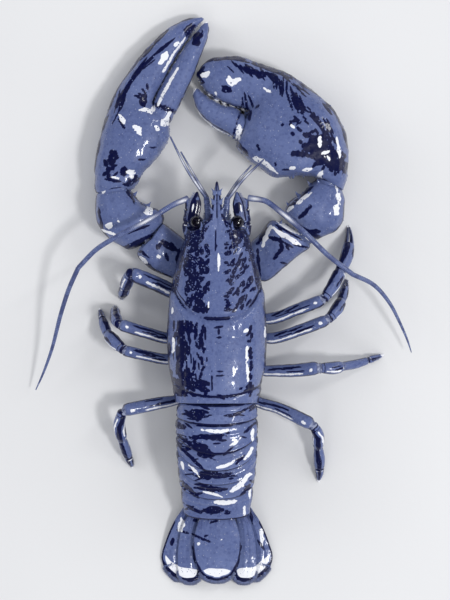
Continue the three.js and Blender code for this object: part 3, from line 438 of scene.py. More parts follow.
def dashes(points, field, count, long, wide, lay, jitter, seed):
    """Dark dashes scattered where field is high. lay turns them from the lengthwise lines of the grid."""
    rng = np.random.default_rng(seed)
    flat = points[..., :2].reshape(-1, 2)
    ways = np.gradient(points, axis=0)[..., :2].reshape(-1, 2)
    chance = np.clip(np.broadcast_to(field, points.shape[:-1]), 0, 1).ravel()
    total = np.zeros(len(flat))
    for i in rng.choice(len(flat), count, p=chance / chance.sum()):
        length, width = long * rng.uniform(0.5, 1.3), wide * rng.uniform(0.6, 1.3)
        turn = math.atan2(ways[i, 1], ways[i, 0]) + math.radians(lay + rng.normal(0, jitter))
        away = flat - flat[i]
        near = (np.abs(away).max(1) < length) & (chance > 0)
        total[near] = np.maximum(total[near], spot(away[near, 0], away[near, 1], length, width, turn))
    return total.reshape(points.shape[:-1])


# Materials
def value_node(tree, kind, **settings):
    node = tree.nodes.new(kind)
    for key, setting in settings.items():
        setattr(node, key, setting)
    return node


class Nodes:
    """A material's node tree with short ways to add nodes to it."""

    def __init__(self, name):
        self.material = bpy.data.materials.new(name)
        self.material.use_nodes = True
        self.tree = self.material.node_tree
        self.shader = self.tree.nodes["Principled BSDF"]

    def plug(self, value, socket):
        if hasattr(value, "is_output"):
            self.tree.links.new(value, socket)
        else:
            socket.default_value = value

    def paint(self, name):
        return value_node(self.tree, "ShaderNodeAttribute", attribute_name=name).outputs["Fac"]

    def place(self):
        return self.tree.nodes.new("ShaderNodeTexCoord").outputs["Object"]

    def math(self, operation, a, b=0.0, c=0.0):
        node = value_node(self.tree, "ShaderNodeMath", operation=operation)
        for value, socket in zip((a, b, c), node.inputs):
            self.plug(value, socket)
        return node.outputs[0]

    def vector(self, x, y):
        node = self.tree.nodes.new("ShaderNodeCombineXYZ")
        for value, socket in zip((x, y), node.inputs):
            self.plug(value, socket)
        return node.outputs[0]

    def noise(self, where, scale, detail=3.0, rough=0.55):
        node = self.tree.nodes.new("ShaderNodeTexNoise")
        self.plug(where, node.inputs["Vector"])
        node.inputs["Scale"].default_value = scale
        node.inputs["Detail"].default_value = detail
        node.inputs["Roughness"].default_value = rough
        return node.outputs["Fac"]

    def cells(self, where, scale, feature="F1"):
        node = value_node(self.tree, "ShaderNodeTexVoronoi", feature=feature)
        self.plug(where, node.inputs["Vector"])
        node.inputs["Scale"].default_value = scale
        return node.outputs["Distance"]

    def ramp(self, value, low, high, start=0.0, end=1.0):
        node = value_node(self.tree, "ShaderNodeMapRange", interpolation_type="SMOOTHSTEP")
        for item, socket in zip((value, low, high, start, end), node.inputs):
            self.plug(item, socket)
        return node.outputs[0]

    def mix(self, share, a, b):
        node = value_node(self.tree, "ShaderNodeMix", data_type="RGBA")
        self.plug(share, node.inputs["Factor"])
        for value, socket in ((a, node.inputs[6]), (b, node.inputs[7])):
            self.plug(value if hasattr(value, "is_output") else (*value, 1), socket)
        return node.outputs[2]

    def strokes(self, along, around, lay, fine):
        cosine, sine = math.cos(lay), math.sin(lay)
        length = self.math("MULTIPLY_ADD", around, sine, self.math("MULTIPLY", along, cosine))
        breadth = self.math("MULTIPLY_ADD", around, cosine, self.math("MULTIPLY", along, -sine))
        lines = self.vector(self.math("MULTIPLY", length, fine[0]), self.math("MULTIPLY", breadth, fine[1]))
        return self.noise(lines, 1.0, 2.0, 0.6)

    def warp(self, where, scale, reach):
        """Places pushed about by noise, so that cells lose their regular shapes."""
        noise = self.tree.nodes.new("ShaderNodeTexNoise")
        self.plug(where, noise.inputs["Vector"])
        noise.inputs["Scale"].default_value = scale
        shift = value_node(self.tree, "ShaderNodeVectorMath", operation="MULTIPLY_ADD")
        self.plug(noise.outputs["Color"], shift.inputs[0])
        shift.inputs[1].default_value = (reach, reach, reach)
        self.plug(where, shift.inputs[2])
        return shift.outputs[0]

    def bump(self, height, depth, before=None):
        node = self.tree.nodes.new("ShaderNodeBump")
        node.inputs["Distance"].default_value = depth / METRE
        self.plug(height, node.inputs["Height"])
        if before:
            self.plug(before, node.inputs["Normal"])
        return node.outputs[0]

    def finish(self, colour, roughness, normal, coat=0.0, sheen=0.0, specular=0.5):
        for value, label in ((colour, "Base Color"), (roughness, "Roughness"), (normal, "Normal")):
            self.plug(value, self.shader.inputs[label])
        self.shader.inputs["Coat Weight"].default_value = coat
        self.shader.inputs["Coat Roughness"].default_value = 0.08
        self.shader.inputs["Specular IOR Level"].default_value = specular
        self.shader.inputs["Sheen Weight"].default_value = sheen
        return self.material


def shell_material(name, lay, fine, patches, tint=0.0):
    """Wet mottled shell. lay turns the fine strokes that fray the dark marks from lengthwise to crosswise,
    and fine is how many strokes there are to a millimetre along and across them."""
    nodes = Nodes(name)
    where = nodes.place()
    along, around = nodes.paint("along"), nodes.paint("around")
    stroke = nodes.strokes(along, around, lay, fine)
    patch = nodes.noise(where, patches, 4.0, 0.6)
    marks = nodes.math("MULTIPLY_ADD", nodes.paint("navy"), 0.9, nodes.math("MULTIPLY", stroke, 0.7))
    marks = nodes.math("MULTIPLY_ADD", patch, 0.5, marks)
    navy = nodes.ramp(marks, 0.93, 0.98)
    halo = nodes.ramp(marks, 0.74, 0.95)
    broad = nodes.ramp(nodes.noise(where, 30, 2.0), 0.35, 0.7)
    light = tuple(m + (s - m) * (0.55 + tint) for m, s in zip(MID_BLUE, STEEL_BLUE))
    blue = nodes.mix(broad, MID_BLUE, light)
    bent = nodes.warp(where, 260, 0.0022)
    dapple = nodes.ramp(nodes.cells(bent, 330), 0.46, 0.2)
    blue = nodes.mix(nodes.math("MULTIPLY", dapple, 0.3), blue, DEEP_BLUE)
    net = nodes.ramp(nodes.noise(where, 900, 3.0, 0.6), 0.42, 0.62)
    blue = nodes.mix(nodes.math("MULTIPLY", net, 0.3), blue, STEEL_BLUE)
    blue = nodes.mix(nodes.math("MULTIPLY", halo, 0.55), blue, DEEP_BLUE)
    specks = nodes.ramp(nodes.cells(bent, 480), 0.15, 0.09)
    blue = nodes.mix(nodes.math("MULTIPLY", specks, 0.28), blue, PALE)
    colour = nodes.mix(navy, blue, NAVY)
    # The pale paint is mixed in here: pale markings, and highlights painted into the colour, with ragged
    # edges
    ragged = nodes.math("MULTIPLY_ADD", nodes.noise(where, 380, 4.0, 0.6), 1.3, nodes.paint("pale"))
    colour = nodes.mix(nodes.ramp(ragged, 1.08, 1.2), colour, PALE)
    rough = nodes.ramp(nodes.noise(where, 160, 4.0), 0.3, 0.75, 0.26, 0.48)
    pits = nodes.bump(nodes.ramp(nodes.cells(where, 800), 0.0, 0.3), 0.2)
    grain = nodes.bump(nodes.noise(where, 2600, 3.0), 0.08, pits)
    swell = nodes.bump(patch, 0.12, grain)
    return nodes.finish(colour, rough, swell, coat=0.55, specular=0.25)


def feeler_material():
    """Ringed feeler: every joint of the whip has a dark edge."""
    nodes = Nodes("feeler")
    ring = nodes.math("FRACT", nodes.math("MULTIPLY", nodes.paint("along"), 1 / RING_STEP))
    band = nodes.ramp(nodes.math("ABSOLUTE", nodes.math("SUBTRACT", ring, 0.5)), 0.3, 0.46)
    mottle = nodes.ramp(nodes.noise(nodes.place(), 150, 3.0), 0.5, 0.56)
    colour = nodes.mix(nodes.ramp(nodes.noise(nodes.place(), 900, 2.0), 0.35, 0.65), MID_BLUE, STEEL_BLUE)
    colour = nodes.mix(nodes.math("MULTIPLY", mottle, 0.55), colour, DEEP_BLUE)
    colour = nodes.mix(nodes.math("MULTIPLY", band, 0.6), colour, DEEP_BLUE)
    colour = nodes.mix(nodes.paint("navy"), colour, NAVY)
    # The pale paint on the feelers is painted highlights
    colour = nodes.mix(nodes.paint("pale"), colour, PALE)
    return nodes.finish(colour, nodes.ramp(mottle, 0, 1, 0.32, 0.42), nodes.bump(band, 0.15), coat=0.5)


def eye_material():
    """Near-black eye with the faint net of its facets, on a blue stalk."""
    nodes = Nodes("eye")
    where = nodes.place()
    net = nodes.ramp(nodes.cells(where, 3200, "DISTANCE_TO_EDGE"), 0.0, 0.08)
    cloud = nodes.ramp(nodes.noise(where, 500, 2.0), 0.4, 0.7)
    colour = nodes.mix(cloud, (0.0015, 0.0015, 0.004), (0.008, 0.007, 0.02))
    stalk = nodes.mix(nodes.ramp(nodes.noise(where, 400, 3.0), 0.5, 0.54), MID_BLUE, NAVY)
    colour = nodes.mix(nodes.paint("pale"), colour, stalk)
    return nodes.finish(colour, nodes.ramp(net, 0, 1, 0.3, 0.16), nodes.bump(net, 0.012), coat=1.0)


def skin_material():
    """Soft skin between the shell pieces."""
    nodes = Nodes("joint_skin")
    where = nodes.place()
    folds = nodes.noise(where, 420, 4.0, 0.6)
    colour = nodes.mix(nodes.ramp(folds, 0.35, 0.65), (0.055, 0.07, 0.17), (0.3, 0.33, 0.47))
    normal = nodes.bump(folds, 0.5)
    return nodes.finish(colour, nodes.ramp(folds, 0.3, 0.7, 0.42, 0.62), normal, coat=0.1)


def pale_shell_material():
    """Underside shell: pale blue with cloudy grey patches."""
    nodes = Nodes("pale_shell")
    where = nodes.place()
    cloud = nodes.noise(where, 70, 5.0, 0.6)
    colour = nodes.mix(nodes.ramp(cloud, 0.35, 0.68), (0.34, 0.4, 0.6), (0.14, 0.18, 0.37))
    colour = nodes.mix(nodes.math("MULTIPLY", nodes.paint("navy"), 0.8), colour, NAVY)
    # The pale paint here is the painted highlights on the leg sockets
    colour = nodes.mix(nodes.paint("pale"), colour, PALE)
    normal = nodes.bump(nodes.ramp(nodes.cells(where, 800), 0.0, 0.3), 0.12)
    return nodes.finish(colour, nodes.ramp(cloud, 0.3, 0.7, 0.35, 0.52), normal, coat=0.3)


def hair_material():
    """Fringe hairs: blue-brown at the root, paler at the tip."""
    nodes = Nodes("fringe_hair")
    mottle = nodes.noise(nodes.place(), 900, 2.0)
    colour = nodes.mix(nodes.ramp(mottle, 0.35, 0.65), (0.075, 0.1, 0.24), (0.12, 0.155, 0.33))
    colour = nodes.mix(nodes.paint("pale"), colour, (0.42, 0.46, 0.62))
    rough = nodes.ramp(mottle, 0.3, 0.7, 0.5, 0.65)
    return nodes.finish(colour, rough, nodes.bump(mottle, 0.02), sheen=0.3)


def floor_material():
    """Plain pale floor, painted a little paler away from the middle to make up for the light, which reaches
    it less there.
    """
    nodes = Nodes("floor")
    where = nodes.place()
    tone = nodes.ramp(nodes.noise(where, 3.0, 2.0), 0.3, 0.7)
    colour = nodes.mix(tone, (0.67, 0.67, 0.68), (0.71, 0.71, 0.72))
    away = value_node(nodes.tree, "ShaderNodeVectorMath", operation="LENGTH")
    nodes.plug(where, away.inputs[0])
    colour = nodes.mix(nodes.ramp(away.outputs["Value"], 0.5, 3.0), colour, (0.93, 0.93, 0.94))
    return nodes.finish(colour, 0.7, nodes.bump(nodes.noise(where, 400, 2.0), 0.05))


BACK = shell_material("back_shell", 0.0, (0.3, 0.9), patches=190)
TAIL = shell_material("tail_shell", 0.0, (0.22, 0.9), patches=150)
HEAD = shell_material("head_shell", 0.3, (0.4, 1.1), patches=120)
CUTTER = shell_material("cutter_shell", 0.0, (0.14, 0.8), patches=120)
CRUSHER = shell_material("crusher_shell", -0.4, (0.16, 0.8), patches=120)
LIMB = shell_material("limb_shell", 0.1, (0.16, 1.0), patches=120)
FAN = shell_material("fan_shell", 0.0, (0.1, 1.3), patches=110, tint=0.1)
FEELER, EYE, SKIN = feeler_material(), eye_material(), skin_material()
UNDERSIDE, HAIR = pale_shell_material(), hair_material()


def register(piece, slot, *nodes):
    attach(piece, "root")
    if nodes:
        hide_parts(*nodes)
    return piece


# Carapace
carapace_width = curve(
    [(ROSTRUM_TIP_Y, 0.7), (-62, 2.1), (-54, 3.3), (BEAK_BASE_Y, 5.2), (-45.5, 8.6), (-41.5, 17.2)]
    + [(-36, 19.4), (-26, 22.6), (-14, 25.8), (2, 28.6), (20, CARAPACE_HALF_WIDTH), (36, 29.2), (48, 27)]
    + [(CARAPACE_REAR_Y, 24.4)]
)
carapace_crest = curve(
    [(ROSTRUM_TIP_Y, 47.2), (BEAK_BASE_Y, 47.5), (-36, 49), (-10, 53), (10, 54.2), (14, 54.4), (35, 55)]
    + [(50, 53.4), (CARAPACE_REAR_Y, 51)]
)
carapace_middle = curve(
    [(ROSTRUM_TIP_Y, 46), (BEAK_BASE_Y, 44), (-41, 38), (-30, 35), (0, 30), (CARAPACE_REAR_Y, 29)]
)
carapace_floor = curve(
    [(ROSTRUM_TIP_Y, 45), (BEAK_BASE_Y, 39.5), (-41, 30), (-25, 24), (0, 18.5), (CARAPACE_REAR_Y, 17.5)]
)
groove_share = curve([(-41.5, 0), (GROOVE_Y, 1), (CARAPACE_REAR_Y, 0)])
BEAK_TEETH_Y = (-63.5, -58, -52.5)
# Spines behind the eyes and on the cheeks, as place, direction, length and radius on the animal's left
HEAD_SPINES = [
    ((8.6, -42.5, 45), (0.2, -1, 0.25), 4.4, 1.6),
    ((7.6, -34, 48.2), (0.15, -1, 0.35), 1.8, 1.2),
    ((17.5, -40.5, 36), (0.25, -1, 0.1), 4.5, 1.6),
    ((19.8, -30, 36.5), (0.6, -1, 0.1), 1.6, 1.0),
]
FURROW_Y = 57.2
FURROW_SWEEP = 6.5  # how much further forward the rear furrow lies at the sides


def carapace_relief(station, x, y, c):
    """Height in millimetres of the grooves, ridges and swellings of the back."""
    off = np.abs(x)
    rear = step_up(station, GROOVE_Y + 3, GROOVE_Y + 10)
    furrow = y + FURROW_SWEEP * c**2 - FURROW_Y
    height = -1.3 * bell(station - GROOVE_Y, 1.7)
    height += 0.5 * bell(station - GROOVE_Y - 4.5, 3) + 0.35 * bell(station - GROOVE_Y + 5, 3)
    height -= 0.3 * bell(off, 0.4) * rear * step_up(-station, -58, -55)
    height -= 0.6 * bell(off - 13 - 0.06 * (y - 20), 1.3) * bell(station - 19, 7)
    height -= 0.6 * bell(furrow, 0.9)
    height += 0.45 * step_up(furrow, 0.8, 2.2)
    height += 0.8 * bell(off - 6.4 - 0.16 * (y + 48), 1.2) * step_up(y, -50, -46) * step_up(-y, 12, 34)
    height -= 0.9 * bell(off, 1.1) * step_up(-y, 34, 48) * step_up(y, -67, -62)
    height -= 0.5 * bell(off - 10.5, 2.2) * bell(y + 12, 6)
    height += 0.6 * bell(off - 15, 5) * bell(y + 25, 9)
    height -= 0.25 * bell(off - 19.5, 1.0) * rear
    return height


def back_dashes(points, station, x, y, s):
    """Fields of dark dashes each side of a plain middle strip, denser on the animal's left."""
    top = s > 0.05
    front = step_up(y, -43, -39) * step_up(-station, -9, -6) * top
    rear = step_up(y, 12, 16) * step_up(-y, -57, -53) * top
    rows = [
        (front * step_up(x, 4, 6.5) * step_up(-x, -20, -15), 135, 4.2, 2.1, 8, 28),
        (front * bell(x + 6.2, 1.3), 34, 2.8, 1.3, 90, 8),
        (front * step_up(-x, 7, 9) * step_up(x, -23, -17), 110, 4.0, 1.6, -42, 18),
        (rear * bell(x - 21, 3.2), 62, 8, 1.5, 0, 7),
        (rear * bell(x - 16, 5), 26, 6, 1.1, 0, 10),
        (rear * bell(x - 8.5, 1.6), 16, 4.5, 1.5, 0, 12),
        (rear * bell(y - 52, 4.5) * step_up(x, 4, 7), 46, 5, 1.8, 55, 22),
        (rear * bell(x - 13, 4) * bell(y - 18, 5), 12, 4.5, 1.8, 0, 20),
        (rear * bell(x + 19.8, 0.8), 26, 2.8, 1.6, 0, 10),
        (rear * bell(x + 20, 2.5) * bell(y - 53, 3), 10, 3.6, 1.8, -50, 14),
    ]
    return np.max([dashes(points, *row, seed=100 + i) for i, row in enumerate(rows)], 0)


BACK_DARKS = [
    (-2.2, 57, 6, 1.6, 150),
    (-1.5, 44.5, 4, 1, 0),
    (-1.5, 42, 4, 1, 0),
    (-1, 22, 3, 1.6, 0),
    (-1, 16, 5, 1.2, 10),
    (-1.2, 19, 1.4, 3, 0),
    (2.8, 48, 0.8, 11, 0),
    (7.2, -40.5, 11, 1.3, 56),
    (12.5, -32, 9, 1.5, 59),
    (-5.2, -46.5, 10, 1.3, 104),
    (-9.3, -36.8, 12, 1.5, 120),
    (14.5, -40, 7, 5, 70),
    (-15, -39.5, 6, 2.4, 110),
    (3.4, -52, 9, 1.2, 97),
    (-3.2, -55, 9, 1.2, 84),
    (0.6, -34, 0.9, 13, 0),
    (16.5, -34.5, 6, 3, 60),
]


def carapace_navy(station, x, y, c):
    """The dark lines of the back: its grooves, rims and fore corners."""
    off = np.abs(x)
    outward = off / carapace_width(y)
    groove = 0.75 * step_up(-off, -9, -6) + 0.6 * step_up(off, 18, 21) + 0.25
    navy = bell(station - GROOVE_Y, 1.0) * groove
    navy = navy + 0.95 * bell(outward - 0.9, 0.05) * step_up(-y, 3, 9) * step_up(y, -44, -40)
    navy = navy + 0.7 * bell(station - GROOVE_Y + 4, 0.7) * bell(x - 19, 5)
    navy = navy + 0.9 * bell(y + FURROW_SWEEP * c**2 - FURROW_Y, 0.85)
    navy = navy + 0.9 * bell(outward - 0.78, 0.2) * step_up(-y, 43, 47)
    return navy + 0.9 * bell(x, 0.45) * step_up(-y, 47, 50) + 0.4 * bell(y + 43.5, 2.6) * step_up(off, 5, 8)


# Painted highlights on the back, as x, y, length, width, turn and bend
BACK_GLINTS = [
    (-1.2, -22.5, 11, 1.7, 90, 1),
    (-18.2, 42, 12, 1.8, 96, 1),
    (-17.6, 32, 9, 1.5, 92, -1),
    (-17.2, 18, 3, 2.0, 30),
    (-9.8, 41, 4, 1.3, 80),
    (-9.8, 22, 1.5, 1.4, 0),
    (5, 3, 5, 1.3, 80),
    (25.6, 26, 9, 1.7, 92, 1),
    (26.4, 6, 4, 1.2, 80),
    (-28.6, 19, 6, 1.2, 90),
]


CARAPACE_SIDES = 224
CARAPACE_ROWS = [(ROSTRUM_TIP_Y, 58), (BEAK_BASE_Y, 40), (-40, 80), (4, 52), (19, 100)]  # start, row count


def carapace():
    ends = [y for y, _ in CARAPACE_ROWS[1:]] + [CARAPACE_REAR_Y + 0.4]
    spans = [(low, high, count) for (low, count), high in zip(CARAPACE_ROWS, ends)]
    stops = np.concatenate([np.linspace(*span, endpoint=False) for span in spans])
    angle = angles_round(CARAPACE_SIDES)
    station, turn = np.broadcast_arrays(stops[:, None], angle)
    c, s = np.cos(turn), np.sin(turn)
    y = station - GROOVE_SWEEP * groove_share(station) * np.abs(c) ** 2.5
    middle, above = carapace_middle(y), s > 0
    roundness = np.where(above, 0.9, 0.72)
    x = carapace_width(y) * signed_power(c, roundness)
    rise = np.where(above, carapace_crest(y) - middle, middle - carapace_floor(y))
    z = middle + rise * signed_power(s, roundness)
    points = np.stack([x, y, z], -1)
    rough = step_up(np.abs(x), 3, 8) * step_up(y, -44, -38)
    relief = carapace_relief(station, x, y, c) * step_up(s, -0.05, 0.1)
    relief = relief + 0.16 * ripple(points, 9, 5) * rough + 0.07 * ripple(points, 3.2, 6) * rough
    relief = relief * step_up(carapace_width(y), 0.8, 3)
    socket = bell(np.hypot(np.abs(x) - 11, (z - 42) * 1.1), 4.4) * (y < -40) * (y > -49)
    points = points + grid_normals(points) * relief[..., None]
    points[..., 1] += 2.6 * socket
    ends = [[0, ROSTRUM_TIP_Y - 0.8, 46.4], [0, CARAPACE_REAR_Y - 1, 33]]
    lines = carapace_navy(station, x, y, c) + broken(points) * bell(1 - np.abs(c), 0.05)
    lines = lines * step_up(s, -0.12, 0.02)
    fields = np.maximum(back_dashes(points, station, x, y, s), spots(points, BACK_DARKS) * (s > 0))
    navy = np.maximum(lines + 0.9 * socket, fields)
    # pale: the painted highlights on top and a pale band along the lower edge
    pale = spots(points, BACK_GLINTS) * (s > 0) + 0.35 * bell(z - 18.5, 1.4)
    shape = Shape()
    shape.add(
        np.concatenate([points.reshape(-1, 3), ends]),
        *ring_faces(len(stops), CARAPACE_SIDES),
        np.append(navy.ravel(), [0.2, 1]),
        np.append(pale.ravel(), [0.3, 0]),
        np.append(y.ravel(), [0, 0]),
        np.append(((turn - QUARTER) * 24).ravel(), [0, 0]),
    )
    for way in (-1, 1):
        for tooth_y in BEAK_TEETH_Y:
            at = (way * float(carapace_width(tooth_y)) * 0.75, tooth_y, float(carapace_middle(tooth_y)) + 1)
            stud(shape, at, (way * 0.75, -1, 0.35), 3.6, 1.25)
        placed_spines(shape, HEAD_SPINES, way)
    chance = step_up(s, 0.1, 0.3) * step_up(np.abs(x), 1.5, 4) * (0.12 + step_up(-y, -30, 40))
    sprinkle(shape, points, chance, 620, 0.3, 11)
    return register(shape.build("shell_back", BACK), "body_shell", "carapace")


# Tail
TAIL_RINGS = [
    (62.6, 50.2, 3, 23.0, 33),
    (73.8, 49.4, 9, 23.9, 35),
    (91.2, 45.6, 19, TAIL_HALF_WIDTH, 35.5),
    (101.4, 41.2, 28, 23.8, 33),
    (109.8, 35.8, 36, 23.2, 29),
    (118.8, 28.4, 38, 22, 23.5),
    (131.5, 19.2, 30, 19.5, 14.5),
]
RIM_SWEEP = (1.5, 2, 6.5, 7, 5, 3, 0)  # how much further forward each ring's edge lies at the shoulders
SHINGLE = 1.1  # how far a plate's fore edge tucks in under the one before
SCALLOP = 0.9  # how far each plate's flank bulges
SHOULDER_ARC = 0.66  # share of the arc over the back, from the middle line to where the side plate hangs
plate_lift = curve(
    [(-0.3, -2.2), (0, -SHINGLE), (0.14, -0.3), (0.3, 0.1), (0.8, 0.25), (0.93, 0.8), (1, 0.45)]
)
side_plate = curve(
    [(-0.3, 0.6), (0, 0.72), (0.25, 0.87), (0.55, 0.98), (0.76, 1.04), (0.9, 0.97), (1, 0.76)]
)


def tail_points(x, y, z, slope, down, back):
    x, down, back = np.broadcast_arrays(x, down, back)
    turned_y = y - down * np.sin(slope) + back * np.cos(slope)
    return np.stack([x, turned_y, z - down * np.cos(slope) - back * np.sin(slope)], -1)


def tail_plate(index, rows=60, across=165):
    """One ring of the tail: an arched plate with a raised rim and a pointed side plate each side."""
    front, rear = (np.array([*TAIL_RINGS[i], RIM_SWEEP[i]]) for i in (index, index + 1))
    t = np.linspace(-0.22 if index else -0.02, 1, rows)[:, None]
    y, z, slope, half_width, depth, sweep = (front * (1 - t) + rear * t).T[..., None]
    slope, lift = np.radians(slope), plate_lift(t)
    arc = np.linspace(-1, 1, across)[None, :]
    over = np.clip(np.abs(arc) / SHOULDER_ARC, 0, 1)
    hang = np.clip((np.abs(arc) - SHOULDER_ARC) / (1 - SHOULDER_ARC), 0, 1)
    swing = over * math.pi / 2
    shoulder, tip = 0.52 * depth, depth * side_plate(t)
    bulge = SCALLOP * np.sin(math.pi * np.clip(t, 0, 1)) ** 2
    x = (half_width + lift + bulge - SCALLOP / 2) * np.sin(swing) ** 0.9 * (1 - 0.1 * hang**2)
    down = shoulder - (shoulder + lift) * np.cos(swing) ** 0.86 + (tip + lift - shoulder) * hang
    down = down + 0.55 * bell(t - 0.36, 0.07) * bell(arc, 0.5)
    down = down + 0.35 * bell(np.abs(arc) - 0.6, 0.04) * bell(t - 0.6, 0.3)
    back = 3.4 * hang**1.5 * step_up(t, 0.1, 0.95) - sweep * np.sin(swing) ** 2 * (1 - hang**1.3)
    outer = tail_points(np.sign(arc) * x, y, z, slope, down, back)
    roof = 0.62 * depth
    inner_down = roof + (tip - 1 - roof) * np.abs(arc) ** 3
    inner_x = arc * (half_width * 0.9 - 3.2) + 0 * t
    inner = tail_points(inner_x, y, z, slope, inner_down, back * np.abs(arc) ** 3)
    return np.concatenate([outer, inner[:, ::-1]], 1), t, arc


# Painted highlights on the tail plates, as x, y, length, width, turn and bend
TAIL_GLINTS = [
    (1.2, 77.5, 14, 2.2, 0, 1),
    (-11.5, 84, 8, 1.9, 37, 1),
    (-21, 80, 9, 1.7, 90, -1),
    (-6.3, 97.5, 13, 2.3, 22, 1.4),
    (-19.3, 91, 8, 2.2, 55, 1),
    (13.2, 101, 10, 1.5, 132, 1.5),
    (20.4, 98, 5, 1.7, 100),
    (-13.8, 110, 18, 3.2, 43, 1.2),
    (3.6, 115, 13, 1.6, 165, 1.5),
    (-4.8, 121, 16, 2.7, 4, 1),
    (-19.5, 116, 7, 1.5, 90, -1),
    (-16.4, 126, 5, 1.7, 90),
]
# Dark patches on the tail as x, y, length, width and turn: mottling, and on the animal's left of the middle
# line just ahead of each hind edge, painted shade as well
TAIL_PATCHES_AND_SHADE = [
    (12, 68, 10, 6.5, 0),
    (-12.3, 67, 13, 2, 24),
    (0, 74.4, 23, 0.9, 0),
    (20.6, 75, 5, 3, 0),
    (-19.4, 75.8, 7, 1.7, 41),
    (4.5, 81, 22, 3.4, 0),
    (17.7, 84, 11, 1.8, 146),
    (8, 89, 15, 6, 150),
    (-6.7, 89.2, 7, 1.6, 40),
    (14, 94.5, 20, 2.2, 138),
    (-13.8, 94.5, 9, 1.9, 45),
    (2.5, 104, 21, 4, 0),
    (16.6, 112.5, 13, 3, 137),
    (-17, 113.5, 10, 1.8, 51),
    (3, 112.5, 16, 3.4, 0),
    (14, 125, 12, 2, 150),
    (1.5, 125.5, 13, 4.5, 0),
]


def plate_paint(index, t, arc, points):
    """Dark patches and dashes, dark edges and pale glints on a tail plate. The glints are painted
    highlights, and some dark patches are partly painted shade.
    """
    width = arc.shape[1]
    outer = points[:, :width]
    side_dash = bell(np.abs(arc) - 0.5 - 0.2 * t, 0.05) * bell(t - 0.5, 0.34) * (1 - 0.4 * (arc < 0))
    patch = spots(outer, TAIL_PATCHES_AND_SHADE)
    around = spots(outer, [(x, y, long * 1.5, wide * 1.7, turn) for x, y, long, wide, turn in TAIL_PATCHES_AND_SHADE])
    frayed = dashes(outer, around + FAINT, 16, 5, 1.3, 90, 12, 120 + index)
    edge = step_up(t, 0.92, 0.945) * (0.7 + 0.3 * bell(arc - 0.15, 0.5))
    navy = np.maximum(np.maximum(patch, 0.9 * frayed), np.maximum(0.75 * side_dash, edge))
    flank = 0.3 * bell(np.abs(arc) - 0.92, 0.06) + 0.95 * bell(np.abs(arc) - 0.63, 0.035)
    navy = navy + 0.6 * step_up(-t, -0.12, -0.02) + flank
    pale = spots(outer, TAIL_GLINTS) * (np.abs(arc) < SHOULDER_ARC) + 0.5 * step_up(np.abs(arc), 0.95, 1)
    return np.clip(navy * (1 - pale), 0, 1), np.clip(pale, 0, 1)


def tail():
    for index in range(6):
        grid, t, arc = tail_plate(index)
        rows, around = grid.shape[:2]
        width = arc.shape[1]
        wave = 0.1 * ripple(grid, 4, 20 + index) + 0.12 * ripple(grid, 10, 40 + index)
        grid = grid + grid_normals(grid) * wave[..., None]
        navy, pale = plate_paint(index, t, arc, grid)
        inside = np.zeros((rows, width))
        lengthwise = np.linspace(-1, 1, width) * 45
        shape = Shape()
        shape.add(
            np.concatenate([grid.reshape(-1, 3), [grid[0].mean(0), grid[-1].mean(0)]]),
            *ring_faces(rows, around),
            np.append(np.concatenate([navy, inside], 1).ravel(), [0, 0]),
            np.append(np.concatenate([pale, inside + 0.4], 1).ravel(), [0, 0]),
            np.append(np.tile(np.concatenate([lengthwise, lengthwise[::-1]]), rows), [0, 0]),
            np.append(grid[..., 1].ravel(), [0, 0]),
        )
        cover = np.zeros((rows, around))
        cover[8:-6, 12 : width - 12] = 1
        sprinkle(shape, grid, cover, 90, 0.22, 70 + index)
        if index < 5:
            swimmerets(shape, index)
        register(shape.build(f"tail_plate_{index + 1}", TAIL), "body_shell", f"abdomen_{index + 1}")
        side_fringe(index, grid, width)


def side_fringe(index, grid, width, count=150):
    """Short hairs along the lower edges of a tail plate."""
    rng = np.random.default_rng(90 + index)
    row = rng.integers(int(0.3 * len(grid)), len(grid), count)
    edge = np.where(rng.random(count) < 0.5, 1, width - 2)
    roots = grid[row, edge]
    ways = np.array([0, 0.8, -1.0]) + rng.normal(0, 0.25, (count, 3))
    hairs(f"tail_plate_{index + 1}_fringe", roots, ways, rng.uniform(1.0, 2.0, count), 0.06, 0.0, 91, 0.5)


def swimmerets(shape, index):
    """The pair of paddles under a tail plate, each with an inner and an outer blade."""
    y, z, slope, _, depth = (np.array(TAIL_RINGS[index]) + np.array(TAIL_RINGS[index + 1])) / 2
    slope = math.radians(slope)
    down = np.array([0, -math.sin(slope), -math.cos(slope)])
    root = np.array([0, y, z]) + down * depth * 0.55
    reach = depth * 0.3
    for way in (-1, 1):
        start = root + [way * 8, 0, 0]
        for spread_out in (0.6, 3.4):
            tip = start + [way * spread_out, reach * 0.35, -reach]
            middle = (start + tip) / 2
            rows = [(*start, 1.6, 0.8), (*middle, 1.9, 0.6), (*tip, 0.9, 0.4)]
            loft(shape, path_frames(rows, 12), 16, domes=(0.5, 0.6), pale=evenly(0.3))


# Tail fan
TELSON = [
    (128.5, -9.5, 9.5, 16.2, 16.2, 2.2),
    (136, -12.2, 12.2, 14.2, 14.2, 2.1),
    (147.5, -14.2, 14.2, 11, 11, 1.9),
    (157, -12.9, 12.9, 8.6, 8.6, 1.7),
    (164, -10.6, 10.6, 7.2, 7.2, 1.5),
    (167.4, -7.2, 7.2, 6.6, 6.6, 1.3),
    (168.6, -3.4, 3.4, 6.4, 6.4, 1.1),
]
ENDOPOD = [
    (126, 9.5, 15, 13.2, 13.2, 2.2),
    (135, 11.5, 20.3, 9.6, 9.6, 1.9),
    (146, 11, 23, 7.3, 6.2, 1.4),
    (156, 9.6, 23.8, 5.0, 4.4, 1.3),
    (163.4, 9.2, 23.8, 4.2, 3.9, 1.2),
    (167.8, 10.8, 22, 3.8, 3.6, 1.1),
    (FAN_END_Y - 0.4, 14, 18.4, 3.6, 3.5, 1),
]
